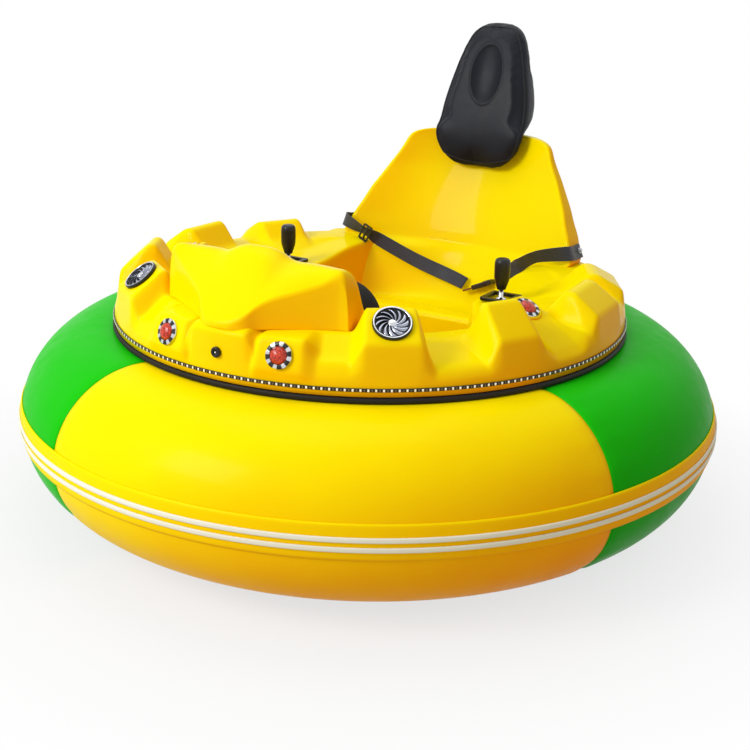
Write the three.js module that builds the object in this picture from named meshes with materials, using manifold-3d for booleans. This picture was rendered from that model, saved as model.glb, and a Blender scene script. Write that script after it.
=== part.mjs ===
// Inflatable bumper car: air tube around a moulded body on a driven chassis.
// Millimetres, +Z up, -Y is the front, +X is the rider's left, the floor is Z = 0.
import * as THREE from 'three';
import Module from 'manifold-3d';

const manifoldApi = await Module();
manifoldApi.setup();
const { Manifold, Mesh: ManifoldMesh } = manifoldApi;

// ---- driving dimensions ----
const gap = 0.3;                 // air left between pieces that touch

const tubeRingR = 704;           // tube centre circle
const tubeHalfW = 244;
const tubeHalfH = 230;
const tubeZ = 274;
const panelTurn = 67.5;          // first panel seam, degrees from the front towards +X
const panelSteps = 14;
const bandLow = 239;
const bandHigh = 325;
const bandThick = 4;
const stripeZ = [290, 267];
const stripeTall = 12;
const stripeThick = 4;

const trimOuterR = 698;
const trimInnerR = 672;
const trimLow = 504.6;
const trimHigh = 521;
const ledR = 692.6;
const ledLow = 534;
const ledHigh = 542.5;

const skin = 6;                  // moulded wall
const shellBase = 521.3;
const floorTop = 147.3;
const footPanelRise = 2.5;        // raised panel for the feet
const openHalfW = 275;
const openFront = -400;
const openRear = 600;
const openCorner = 95;           // front corners
const openRearCorner = 120;
const bayR = 460;                // the opening's wider bay in front of each joystick deck
const bayFront = -340;
const bayReach = 273;            // from the middle to the slanting joystick deck wall
const bayTurn = 62.1;            // that wall's normal, degrees from the rear towards the side
const wellLine = [[-8, 505, 452], [-14, 440, 400], [-20, 436, 147.6]]; // draft, largest radius, z

const seatLipY = 305;
const seatLipZ = 450;

const rearDeck = 606;
const backTop = 936;

const chassisR = 445;
const plateThick = 6;
const plateTop = 141;
const padDrop = 4;                // lifting pad below the plate
const driveR = 100;
const driveW = 56;
const driveX = 330;
const driveY = 80;
const castorR = 40;
const castorTrail = 24;
const castorY = [-330, 360];

// ---- helpers ----
const group = new THREE.Group();
const rad = Math.PI / 180;

function add(name, color, geometry, roughness = 0.5, metalness = 0) {
  const material = new THREE.MeshStandardMaterial({ color, roughness, metalness });
  const mesh = new THREE.Mesh(geometry, material);
  mesh.name = name;
  group.add(mesh);
  return mesh;
}

// A closed solid through sections that all have the same number of points [x, y, z].
// ring = true joins the last section to the first instead of capping both ends.
function loft(sections, ring = false) {
  const n = sections[0].length;
  const m = sections.length;
  const positions = sections.flat(2);
  const index = [];
  for (let i = 0; i < (ring ? m : m - 1); i += 1) {
    const a = i * n;
    const b = ((i + 1) % m) * n;
    for (let j = 0; j < n; j += 1) {
      const k = (j + 1) % n;
      index.push(a + j, a + k, b + k, a + j, b + k, b + j);
    }
  }
  if (!ring) {
    for (const [start, last] of [[0, false], [(m - 1) * n, true]]) {
      const flat = sections[last ? m - 1 : 0];
      const plane = capPlane(flat);
      for (const [p, q, r] of THREE.ShapeUtils.triangulateShape(plane, [])) {
        index.push(...(last ? [start + p, start + q, start + r] : [start + r, start + q, start + p]));
      }
    }
  }
  const geometry = new THREE.BufferGeometry();
  geometry.setAttribute('position', new THREE.Float32BufferAttribute(positions, 3));
  geometry.setIndex(index);
  return facingOut(geometry);
}

// Section points in their own flat plane, for capping.
function capPlane(points) {
  const v = points.map((p) => new THREE.Vector3(...p));
  const normal = new THREE.Vector3();
  v.forEach((p, i) => normal.add(p.clone().cross(v[(i + 1) % v.length])));
  normal.normalize();
  const helper = Math.abs(normal.z) > 0.9 ? new THREE.Vector3(1, 0, 0) : new THREE.Vector3(0, 0, 1);
  const across = helper.cross(normal).normalize();
  const up = normal.clone().cross(across);
  return v.map((p) => new THREE.Vector2(p.dot(across), p.dot(up)));
}

function signedVolume(geometry) {
  const p = geometry.attributes.position;
  const idx = geometry.index;
  const [a, b, c] = [0, 1, 2].map(() => new THREE.Vector3());
  let sum = 0;
  for (let i = 0; i < idx.count; i += 3) {
    a.fromBufferAttribute(p, idx.getX(i));
    b.fromBufferAttribute(p, idx.getX(i + 1));
    c.fromBufferAttribute(p, idx.getX(i + 2));
    sum += a.dot(b.cross(c));
  }
  return sum;
}

function facingOut(geometry) {
  if (signedVolume(geometry) < 0) {
    const idx = geometry.index;
    for (let i = 0; i < idx.count; i += 3) {
      const keep = idx.getX(i);
      idx.setX(i, idx.getX(i + 2));
      idx.setX(i + 2, keep);
    }
  }
  return geometry;
}

// Turns a profile of [radius, z] points about Z. The profile closes on itself, or
// starts and ends on the axis.
function spun(profile, segments, phase = 0) {
  const closed = profile[0][0] > 0.001;
  const sections = [];
  if (closed) {
    for (let i = 0; i < segments; i += 1) {
      const t = phase * rad + (i / segments) * 2 * Math.PI;
      sections.push(profile.map(([r, z]) => [r * Math.cos(t), r * Math.sin(t), z]));
    }
    return loft(sections, true);
  }
  const inner = profile.slice(1, -1);
  const positions = [0, 0, profile[0][1], 0, 0, profile[profile.length - 1][1]];
  const index = [];
  const n = inner.length;
  for (let i = 0; i < segments; i += 1) {
    const t = (i / segments) * 2 * Math.PI;
    inner.forEach(([r, z]) => positions.push(r * Math.cos(t), r * Math.sin(t), z));
    const a = 2 + i * n;
    const b = 2 + ((i + 1) % segments) * n;
    index.push(0, b, a, 1, a + n - 1, b + n - 1);
    for (let j = 0; j < n - 1; j += 1) index.push(a + j, b + j, b + j + 1, a + j, b + j + 1, a + j + 1);
  }
  const geometry = new THREE.BufferGeometry();
  geometry.setAttribute('position', new THREE.Float32BufferAttribute(positions, 3));
  geometry.setIndex(index);
  return facingOut(geometry);
}

// A straight prism of an outline of [x, y] points, standing from z = 0 to z = height.
function prism(outline, height) {
  return loft([outline.map(([x, y]) => [x, y, 0]), outline.map(([x, y]) => [x, y, height])]);
}

function block(x0, x1, y0, y1, z0, z1) {
  return prism([[x0, y0], [x1, y0], [x1, y1], [x0, y1]], z1 - z0).translate(0, 0, z0);
}

function roundedBox(w, d, h, r) {
  return prism(roundRect(-w / 2, w / 2, -d / 2, d / 2, r, 3), h);
}

function roundRect(x0, x1, y0, y1, r, steps) {
  const out = [];
  const corners = [[x1 - r, y1 - r, 0], [x0 + r, y1 - r, 90], [x0 + r, y0 + r, 180], [x1 - r, y0 + r, 270]];
  for (const [cx, cy, start] of corners) {
    for (let i = 0; i <= steps; i += 1) {
      const t = (start + (90 * i) / steps) * rad;
      out.push([cx + r * Math.cos(t), cy + r * Math.sin(t)]);
    }
  }
  return out;
}

// A tube or strap of the given section swept along a smooth run of points.
function swept(points, outline, steps) {
  const curve = new THREE.CatmullRomCurve3(points.map((p) => new THREE.Vector3(...p)));
  const shape = new THREE.Shape(outline.map(([x, y]) => new THREE.Vector2(x, y)));
  const geometry = new THREE.ExtrudeGeometry(shape, { steps, extrudePath: curve, bevelEnabled: false });
  return merged(geometry);
}

function circle(r, n) {
  return Array.from({ length: n }, (_, i) => {
    const t = (2 * Math.PI * i) / n;
    return [r * Math.cos(t), r * Math.sin(t)];
  });
}

// Welds doubled corners so the solid is closed.
function merged(geometry) {
  const p = geometry.attributes.position;
  const seen = new Map();
  const positions = [];
  const index = [];
  for (let i = 0; i < p.count; i += 1) {
    const key = [p.getX(i), p.getY(i), p.getZ(i)].map((v) => Math.round(v * 1e4)).join();
    if (!seen.has(key)) {
      seen.set(key, positions.length / 3);
      positions.push(p.getX(i), p.getY(i), p.getZ(i));
    }
  }
  const at = (i) => seen.get([p.getX(i), p.getY(i), p.getZ(i)].map((v) => Math.round(v * 1e4)).join());
  const count = geometry.index ? geometry.index.count : p.count;
  for (let i = 0; i < count; i += 3) {
    const t = [0, 1, 2].map((k) => at(geometry.index ? geometry.index.getX(i + k) : i + k));
    if (t[0] !== t[1] && t[1] !== t[2] && t[2] !== t[0]) index.push(...t);
  }
  const out = new THREE.BufferGeometry();
  out.setAttribute('position', new THREE.Float32BufferAttribute(positions, 3));
  out.setIndex(index);
  return facingOut(out);
}

function toSolid(geometry) {
  const g = merged(geometry);
  return new Manifold(new ManifoldMesh({
    numProp: 3,
    vertProperties: new Float32Array(g.attributes.position.array),
    triVerts: new Uint32Array(g.index.array),
  }));
}

function fromSolid(solid) {
  const mesh = solid.getMesh();
  const g = new THREE.BufferGeometry();
  g.setAttribute('position', new THREE.Float32BufferAttribute(new Float32Array(mesh.vertProperties), 3));
  g.setIndex([...mesh.triVerts]);
  return merged(g);
}

function cut(base, ...tools) {
  return fromSolid(tools.reduce((solid, tool) => solid.subtract(toSolid(tool)), toSolid(base)));
}

function join(base, ...others) {
  return fromSolid(others.reduce((solid, other) => solid.add(toSolid(other)), toSolid(base)));
}

// Straight-line interpolation in a table of [key, value, value ...] rows.
function table(rows, key) {
  if (key <= rows[0][0]) return rows[0].slice(1);
  for (let i = 1; i < rows.length; i += 1) {
    if (key <= rows[i][0]) {
      const t = (key - rows[i - 1][0]) / (rows[i][0] - rows[i - 1][0]);
      return rows[i].slice(1).map((v, k) => rows[i - 1][k + 1] * (1 - t) + v * t);
    }
  }
  return rows[rows.length - 1].slice(1);
}

const smooth = (t) => t * t * (3 - 2 * t);
// Place at an angle in degrees from the front (-Y) towards +X.
const polar = (r, angle, z) => [r * Math.sin(angle * rad), -r * Math.cos(angle * rad), z];
const yellow = 0xfae100;
const green = 0x25b414;
const black = 0x17181a;
const steel = 0x9ba0a6;

// ---- inflatable tube, four welded panels ----
function tubePanel(start, end, steps, points) {
  const sections = [];
  const slip = (gap / 2 / tubeRingR) / rad;
  for (let i = 0; i <= steps; i += 1) {
    const angle = start + slip + ((end - start - 2 * slip) * i) / steps;
    const ring = [];
    for (let j = 0; j < points; j += 1) {
      const t = ((j + 0.5) / points) * 2 * Math.PI;
      ring.push(polar(tubeRingR + tubeHalfW * Math.cos(t), angle, tubeZ + tubeHalfH * Math.sin(t)));
    }
    sections.push(ring);
  }
  return loft(sections);
}
['left', 'rear', 'right', 'front'].forEach((side, i) => {
  const start = panelTurn + 90 * i;
  const color = i % 2 === 0 ? green : yellow;
  add(`tube_panel_${side}`, color, tubePanel(start, start + 90, panelSteps, 24), 0.4);
});

// Reach of the faceted tube's outside at a height.
function tubeReach(z) {
  const s = Math.max(-1, Math.min(1, (z - tubeZ) / tubeHalfH));
  return tubeRingR + tubeHalfW * Math.sqrt(1 - s * s);
}
function girdle(low, high, inset, outset, rows) {
  const inner = [];
  const outer = [];
  for (let i = 0; i <= rows; i += 1) {
    const z = low + ((high - low) * i) / rows;
    inner.push([tubeReach(z) + inset, z]);
    outer.unshift([tubeReach(z) + outset, z]);
  }
  return spun([...outer, ...inner], 4 * panelSteps, panelTurn - 90);
}
add('rub_band', yellow, girdle(bandLow, bandHigh, 1.4, bandThick, 2), 0.45);
['upper', 'lower'].forEach((name, i) => {
  const low = stripeZ[i] - stripeTall / 2;
  const rim = bandThick + gap;
  add(`stripe_${name}`, 0xf4f4f0, girdle(low, low + stripeTall, rim + 0.9, rim + stripeThick, 1), 0.5);
});

// ---- edge trim and light strip ----
add('edge_trim', black, spun([
  [trimInnerR, trimLow], [trimOuterR - 3, trimLow], [trimOuterR, trimLow + 4],
  [trimOuterR, trimHigh - 5], [trimOuterR - 4, trimHigh], [trimInnerR, trimHigh],
], 60), 0.7);
add('led_strip', 0x1b1b1b, spun([
  [ledR + gap, ledLow], [ledR + 3, ledLow], [ledR + 3, ledHigh], [ledR + gap, ledHigh],
], 72), 0.4);

// ---- body shell: one moulded ring of wall, pods, deck and cockpit wall ----
// Each kind of pod: [radius, z] of wall, wall top, ridge outside, ridge inside and inner foot.
const podKinds = {
  nose: [[690.5, 572], [690, 640], [672, 652], [610, 652], [560, 640]],
  lamp: [[700, 572], [690, 604], [676, 642], [596, 648], [540, 626]],
  fan: [[690.5, 572], [685, 643], [604, 703], [586, 703], [545, 622]],
  claw: [[690.5, 572], [682, 632], [604, 704], [584, 702], [534, 622]],
  side: [[690.5, 560], [668, 580], [586, 626], [514, 668], [496, 668]],
  flank: [[690.5, 572], [682, 632], [612, 682], [586, 682], [536, 622]],
  hind: [[690.5, 572], [682, 620], [612, 658], [586, 658], [536, 614]],
  rear: [[690.5, 572], [689, 596], [686, 604], [600, rearDeck], [545, rearDeck]],
};
// Kind, then the angles from the front between which it stands on each side.
const pods = [
  ['nose', 0, 6], ['lamp', 9.3, 17.7], ['fan', 30.1, 40.6], ['claw', 57.5, 66], ['side', 72.2, 79.1],
  ['flank', 86.5, 99.5], ['hind', 114.5, 126], ['rear', 140, 180],
];
// The same five points between the pods, up to an angle from the front.
const grounds = [
  [35, [[690.5, 565], [677, 594], [655, 606], [604, 650], [545, 626]]],
  [62, [[690.5, 560], [680, 576], [662, 586], [600, 596], [545, 602]]],
  [180, [[690.5, 572], [680, 592], [662, 602], [600, rearDeck], [545, rearDeck]]],
];
// Height of the deck around the opening, by angle from the front.
const deckHeights = [[0, 606], [66, 604], [82, 589], [124, 589], [140, rearDeck - 2]];
const podFlank = 3.4;
const flatPods = ['lamp', 'fan', 'claw', 'side', 'flank', 'hind'];

function podAt(angle) {
  const side = Math.abs(((angle + 540) % 360) - 180);
  let best = { weight: 0, kind: 'fan', flat: 1 };
  for (const [kind, from, to] of pods) {
    const outside = Math.max(from - side, side - to, 0);
    const weight = outside >= podFlank ? 0 : smooth(1 - outside / podFlank);
    if (weight > best.weight) {
      const half = (to - from) / 2;
      const flat = outside === 0 && flatPods.includes(kind)
        ? Math.cos(half * rad) / Math.cos((side - from - half) * rad) : 1;
      best = { weight, kind, flat };
    }
  }
  return best;
}

// Plan radius of the cockpit opening in a direction, with the outline grown outwards.
function openingR(angle, grow) {
  const [dx, dy] = [Math.sin(angle * rad), -Math.cos(angle * rad)];
  const inside = (x, y) => {
    const r = (y > 0 ? openRearCorner : openCorner) + grow;
    const cx = Math.max(Math.abs(x) - (openHalfW + grow - r), 0);
    const cy = Math.max(y - (openRear + grow - r), openFront - grow + r - y, 0);
    const slant = Math.abs(x) * Math.sin(bayTurn * rad) + y * Math.cos(bayTurn * rad);
    const inBay = Math.hypot(x, y) <= bayR + grow && y >= bayFront - grow && slant <= bayReach + grow;
    return inBay || cx * cx + cy * cy <= r * r;
  };
  let low = 0;
  let high = 900;
  for (let i = 0; i < 30; i += 1) {
    const mid = (low + high) / 2;
    if (inside(dx * mid, dy * mid)) low = mid; else high = mid;
  }
  return low;
}

function shellProfile(angle) {
  const { weight, kind, flat } = podAt(angle);
  const side = Math.abs(((angle + 540) % 360) - 180);
  const ground = grounds.find(([most]) => side <= most)[1];
  const edge = openingR(angle, 12);
  const last = Math.max(545, edge + 26);
  const squeeze = (r) => 674 - (674 - r) * ((674 - last) / (674 - 545));
  const [wall, ...deck] = ground.map(([r, z], i) => {
    const [podR, podZ] = podKinds[kind][i];
    const radius = (r + (podR - r) * weight) * flat;
    return [radius > 674 ? radius : squeeze(radius), z + (podZ - z) * weight];
  });
  const [deckZ] = table(deckHeights, side);
  const rim = Math.min(edge + 130, deck[3][0] - 12);
  return [
    [692, shellBase], [691.8, 545], wall, ...deck,
    [Math.max(rim, edge + 12), deckZ], [edge, deckZ - 2], [openingR(angle, 3), deckZ - 8],
    [openingR(angle, 0), deckZ - 24],
    ...wellLine.map(([grow, most, z]) => [Math.min(openingR(angle, grow), most), z]),
  ];
}

// The same line moved inwards by the wall thickness.
function insideLine(line) {
  return line.map((p, i) => {
    const a = line[Math.max(i - 1, 0)];
    const b = line[Math.min(i + 1, line.length - 1)];
    const d = Math.hypot(b[0] - a[0], b[1] - a[1]) || 1;
    return [p[0] - (skin * (b[1] - a[1])) / d, p[1] + (skin * (b[0] - a[0])) / d];
  });
}

const shellAngles = new Set();
for (let a = -180; a < 180; a += 5) shellAngles.add(a);
for (const a of [36.5, 42, 47.5, 52, 62.1, 64, 76, 102.5, 147, 151, 153, 155.5, 158, 162]) {
  shellAngles.add(a);
  shellAngles.add(-a);
}
for (const [, from, to] of pods) {
  for (const a of [from - podFlank, from - podFlank / 2, from, to, to + podFlank / 2, to + podFlank]) {
    if (a > 0 && a < 180) { shellAngles.add(a); shellAngles.add(-a); }
  }
}
const angles = [...shellAngles].sort((a, b) => a - b).filter((a, i, all) => i === 0 || a - all[i - 1] > 0.8);
add('body_shell', yellow, loft(angles.map((angle) => {
  const outer = shellProfile(angle);
  const inner = insideLine(outer).filter((p, i) => i !== 1 && i !== 8 && i !== 9).reverse();
  inner[0][1] = floorTop + gap;
  inner[inner.length - 1][1] = shellBase;
  return [...outer, ...inner].map(([r, z]) => polar(r, angle, z));
}), true), 0.3);

// ---- front cowl over the nose, crest across the car ----
// Half-width station, front edge y and z, crest z, rear top y and z.
const cowlStations = [
  [0, -688, 664, 820, -462, 800], [30, -684, 668, 818, -462, 799], [58, -668, 682, 808, -462, 794],
  [80, -650, 700, 796, -463, 786], [98, -633, 715, 790, -464, 780],
  [145, -602, 730, 788, -468, 778], [197, -568, 750, 781, -474, 772], [240, -545, 768, 775, -482, 766],
  [254, -540, 700, 706, -486, 700], [262, -538, 664, 668, -490, 662],
];
const cowlCrestY = -528;
function cowlSection(x) {
  const [frontY, frontZ, crest, rearY, rearZ] = table(cowlStations, Math.abs(x));
  const foot = -430 - 24 * smooth(Math.min(Math.abs(x) / 262, 1));
  const rise = 0.6 * Math.max(Math.abs(x) - 215, 0);
  return [
    [x, frontY, 652.3], [x, frontY, frontZ - 4], [x, frontY + 3, frontZ],
    [x, (frontY + cowlCrestY) / 2, (frontZ + crest) / 2 + 3], [x, cowlCrestY, crest],
    [x, cowlCrestY + 22, crest - 1], [x, rearY, rearZ], [x, foot, 636 + rise],
    [x, foot, 609 + rise], [x, foot - 40, 622.5 + rise], [x, foot - 58, 634 + rise / 2], [x, -522, 652.3],
  ];
}
const cowlX = [262, 254, 240, 218, 197, 170, 145, 120, 98, 80, 58, 30];
add('front_cowl', yellow, loft([...cowlX.map((x) => -x), 0, ...cowlX.reverse()].map(cowlSection)), 0.3);

// ---- cockpit: floor, seat, back ----
const floorOutline = [];
for (let a = 0; a < 360; a += 6) {
  const [x, y] = polar(Math.min(openingR(a, -20), 436) + 8, a, 0);
  floorOutline.push([x, y]);
}
const footPanel = prism(roundRect(-170, 170, -280, 200, 30, 3), footPanelRise + 1);
add('cockpit_floor', yellow, join(
  prism(floorOutline, skin).translate(0, 0, floorTop - skin), footPanel.translate(0, 0, floorTop - 1)), 0.6);

// Seat line seen from the side, [y, z, largest radius]: front face, lip, dish, lower back.
const seatLine = [
  [seatLipY - 4, floorTop + gap, 428], [seatLipY - 4, 428, 445], [seatLipY, 443, 470],
  [seatLipY + 10, seatLipZ, 476], [seatLipY + 40, seatLipZ - 1, 476], [412, 440, 466], [458, 441, 468],
  [480, 456, 482], [514, 505, 520], [555, 565, 586], [566, rearDeck - gap, 640],
];
function seatSection(x) {
  const line = seatLine.map(([y, z, most]) => [Math.min(y - (z > 441 ? 0.0006 * x * x : 0) * (y > 480),
    Math.sqrt(most * most - x * x)), z]);
  const under = line.map(([y, z], i) => {
    const a = line[Math.max(i - 1, 0)];
    const b = line[Math.min(i + 1, line.length - 1)];
    const d = Math.hypot(b[0] - a[0], b[1] - a[1]) || 1;
    return [y + (skin * (b[1] - a[1])) / d, z - (skin * (b[0] - a[0])) / d];
  }).reverse();
  under[0][1] = rearDeck - gap;
  under[under.length - 1][1] = floorTop + gap;
  return [...line, ...under].map(([y, z]) => [x, y, z]);
}
const seatX = [248, 210, 160, 100, 50];
add('seat_base', yellow, loft([...seatX.map((x) => -x), 0, ...[...seatX].reverse()].map(seatSection)), 0.35);

// Back: z, half-width, front y on the middle line, front y at the edge, rear y likewise.
const backRows = [
  [rearDeck + gap, 392, 566, 466, 684, 560], [660, 372, 585, 490, 690, 582], [695, 356, 602, 507, 696, 592],
  [740, 333, 620, 531, 703, 600], [820, 289, 655, 573, 718, 625], [880, 253, 676, 597, 728, 640],
  [905, 242, 683, 606, 731, 645], [920, 232, 688, 613, 732, 650], [930, 205, 693, 633, 731, 664],
  [backTop, 172, 701, 655, 728, 681],
];
function backSection([z, w, front, frontEdge, rear, rearEdge]) {
  const stations = [-1, -0.96, -0.8, -0.6, -0.4, -0.2, 0, 0.2, 0.4, 0.6, 0.8, 0.96, 1];
  const ease = (u) => (Math.abs(u) === 1 ? 10 : 0);
  const near = stations.map((u) => [w * u, front - (front - frontEdge) * u * u + ease(u), z]);
  const far = stations.map((u) => [w * u, rear - (rear - rearEdge) * u * u - ease(u), z]).reverse();
  return [...near, ...far];
}
add('seat_back', yellow, loft(backRows.map(backSection)), 0.3);

// Headrest: z, half-width, front y, rear y.
const headRows = [
  [822, 45, 628, 640], [830, 80, 622, 643], [846, 112, 617, 647], [872, 138, 614, 654],
  [905, 152, 614, 661], [935, 158, 616, 667], [970, 158, 622, 700], [1010, 155, 632, 722],
  [1050, 147, 642, 738], [1100, 134, 654, 748], [1150, 119, 668, 754], [1195, 101, 684, 757],
  [1225, 82, 696, 757], [1245, 60, 708, 754], [1255, 40, 716, 749], [1258.5, 22, 722, 744],
];
const signedPower = (v, e) => Math.sign(v) * Math.abs(v) ** e;
add('headrest', black, loft(headRows.map(([z, w, front, rear]) => {
  const section = [];
  for (let i = 0; i < 20; i += 1) {
    const t = ((i + 0.5) / 20) * 2 * Math.PI;
    const x = w * signedPower(Math.cos(t), 0.75);
    const y = (front + rear) / 2 + ((rear - front) / 2) * signedPower(Math.sin(t), 0.75);
    section.push([x, y - 0.0011 * x * x, z]);
  }
  return section;
})), 0.6);

// ---- lamps and socket ----
// Stands a piece made along +Z on a surface: origin at place, its +Z along the direction.
function stand(geometry, place, azimuth, elevation) {
  geometry.rotateX((90 - elevation) * rad);
  geometry.rotateZ((azimuth) * rad);
  return geometry.translate(...place);
}
const fanProfile = [[0, 0], [46.5, 0], [46.5, 7], [44, 9.5], [40, 9], [38, 4], [12, 4], [9, 6], [0, 6.5]];
const redProfile = [[0, 0], [32.5, 0], [32.5, 5], [30, 8], [24, 7.5], [22, 7], [18, 12], [10, 16], [0, 17]];
const socketProfile = [[0, 0], [13, 0], [13, 6], [11, 8], [6, 8], [5, 3], [0, 3]];

// Stands a lamp on a pod's flat face, a share of the way up it.
function onPod(profile, segments, kind, sign, corner, share) {
  const [, from, to] = pods.find(([name]) => name === kind);
  const [[lowR, lowZ], [highR, highZ]] = podKinds[kind].slice(corner, corner + 2);
  const flat = Math.cos(((to - from) / 2) * rad);
  const tilt = Math.atan2((lowR - highR) * flat, highZ - lowZ);
  const r = (lowR + (highR - lowR) * share) * flat + 2 * gap * Math.cos(tilt);
  const z = lowZ + (highZ - lowZ) * share + 2 * gap * Math.sin(tilt);
  const turn = (sign * (from + to)) / 2;
  return stand(spun(profile, segments), polar(r, turn, z), turn, tilt / rad);
}
for (const [side, sign] of [['left', 1], ['right', -1]]) {
  add(`fan_lamp_${side}`, 0x8d93a5, onPod(fanProfile, 32, 'fan', sign, 1, 0.57), 0.3, 0.6);
  add(`red_lamp_front_${side}`, 0xd8301a, onPod(redProfile, 20, 'lamp', sign, 1, 0.02), 0.25);
  add(`red_lamp_side_${side}`, 0xd8301a, onPod(redProfile, 20, 'side', sign, 2, 0.56), 0.25);
}
add('charging_socket', 0x202226, stand(spun(socketProfile, 24), [0, -690.9, 590], 0, 0), 0.4);

// ---- joysticks ----
const stickX = 345;
const stickY = 104;
const stickFoot = 589.6;
const gripFoot = 617;
for (const [side, sign] of [['left', 1], ['right', -1]]) {
  const frame = cut(roundedBox(88, 88, 9, 7), roundedBox(62, 62, 30, 5).translate(0, 0, -5));
  const rise = gripFoot - gap - stickFoot;
  add(`joystick_bezel_${side}`, black, frame.translate(sign * stickX, stickY, stickFoot), 0.35);
  add(`joystick_stem_${side}`, steel, spun([[0, 0], [15, 0], [15, 3], [7, 6], [6, 8], [6, rise], [0, rise]], 20)
    .translate(sign * stickX, stickY, stickFoot), 0.3, 0.9);
  add(`joystick_grip_${side}`, black, spun([[0, 0], [11.5, 0], [13, 5], [19.4, 26], [21.3, 35], [21.5, 68],
    [20.6, 77], [16.5, 83.2], [9, 85.2], [0, 85.5]], 20).translate(sign * stickX, stickY, gripFoot), 0.5);
}

// ---- hand ring on its arm ----
const ringTilt = 5;
const ringAt = [0, -116, 540];
const ringR = 72;
const ringTube = 29;
const ringShape = (tube) => spun(circle(tube, 12).map(([a, b]) => [ringR + a, b]), 28)
  .rotateX(-(90 - ringTilt) * rad).translate(...ringAt);
add('hand_ring', black, ringShape(ringTube), 0.55);
add('hand_ring_arm', black, cut(
  swept([[0, -383, 402], [0, -330, 400], [0, -250, 404], [0, -185, 422], [0, -128, 450]], circle(15, 14), 14),
  ringShape(ringTube + gap + 0.1)), 0.5);

// ---- lap belt ----
// A flat strap through [x, y, z, width direction x, y, z] stations.
function ribbon(stations, width, thick) {
  const at = stations.map((s) => new THREE.Vector3(s[0], s[1], s[2]));
  const curve = new THREE.CatmullRomCurve3(at, false, 'centripetal');
  const count = (stations.length - 1) * 5;
  const sections = [];
  for (let i = 0; i <= count; i += 1) {
    const t = i / count;
    const p = curve.getPoint(t);
    const tangent = curve.getTangent(t);
    const k = Math.min(Math.floor(t * (stations.length - 1)), stations.length - 2);
    const f = t * (stations.length - 1) - k;
    const a = new THREE.Vector3(...stations[k].slice(3));
    const across = a.lerp(new THREE.Vector3(...stations[k + 1].slice(3)), f);
    across.addScaledVector(tangent, -across.dot(tangent)).normalize();
    const out = new THREE.Vector3().crossVectors(tangent, across).normalize();
    sections.push([[-1, -1], [1, -1], [1, 1], [-1, 1]].map(([u, v]) => {
      const q = p.clone().addScaledVector(across, (u * width) / 2).addScaledVector(out, (v * thick) / 2);
      return q.toArray();
    }));
  }
  return loft(sections);
}
const beltFoot = (sign, y, z) => [sign * 384, y, z, -0.39 * sign, 0, 0.92];
add('lap_belt_left', 0x1b1d26, ribbon([
  beltFoot(1, 556, 641), beltFoot(1, 515, 641), [380, 472, 646, -0.3, 0.05, 0.95],
  [335, 446, 641, 0, -0.2, 0.95], [285, 447, 626, 0.1, -0.5, 0.85], [242, 456, 600, 0.45, -0.4, 0.8],
  [203, 470, 570, 0.5, -0.1, 0.85], [156, 478, 540, 0.45, 0.15, 0.85],
], 42, 2.4), 0.8);
add('lap_belt_right', 0x1b1d26, ribbon([
  beltFoot(-1, 548, 646), beltFoot(-1, 510, 646), [-380, 470, 652, 0.3, 0.05, 0.95],
  [-335, 446, 644, 0, -0.2, 0.95], [-290, 446, 628, 0, -0.6, 0.8], [-240, 460, 602, -0.2, 0, 1],
  [-160, 466, 570, -0.3, 0.1, 1],
  [-90, 470, 546, -0.3, 0.2, 0.95], [0, 478, 519, -0.2, 0.45, 0.85], [46, 482, 503, -0.2, 0.6, 0.75],
], 42, 2.4), 0.8);

// Three-bar slide on the right strap, buckle between the straps, one bolt each side.
function placed(geometry, place, turn) {
  geometry.applyMatrix4(new THREE.Matrix4().makeRotationFromEuler(new THREE.Euler(...turn.map((a) => a * rad))));
  return geometry.translate(...place);
}
const slide = cut(roundedBox(52, 34, 5, 4),
  block(-21, 21, -12, -3, -5, 10), block(-21, 21, 3, 12, -5, 10));
slide.applyMatrix4(new THREE.Matrix4().makeBasis(
  new THREE.Vector3(0.42, 0.02, 0.907), new THREE.Vector3(0.907, -0.045, -0.419), new THREE.Vector3(0, -1, 0)));
add('belt_adjuster', 0x202228, facingOut(slide.translate(-279, 431.5, 627)), 0.4, 0.5);
const buckleTurn = [-6, -24, 0];
const tongue = roundedBox(44, 30, 5, 6).translate(-46, 0, 5);
add('belt_buckle', 0x23201e, placed(join(roundedBox(66, 42, 15, 6), tongue), [115, 474, 505], buckleTurn), 0.45);
for (const [side, sign] of [['left', 1], ['right', -1]]) {
  add(`belt_bolt_${side}`, steel, placed(spun([[0, 0], [9, 0], [9, 2], [6, 2], [6, 7], [0, 7]], 18),
    [sign * 386.4, 540, 643 + (sign < 0 ? 4 : 0)], [0, sign * 67, 0]), 0.3, 0.9);
}

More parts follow.
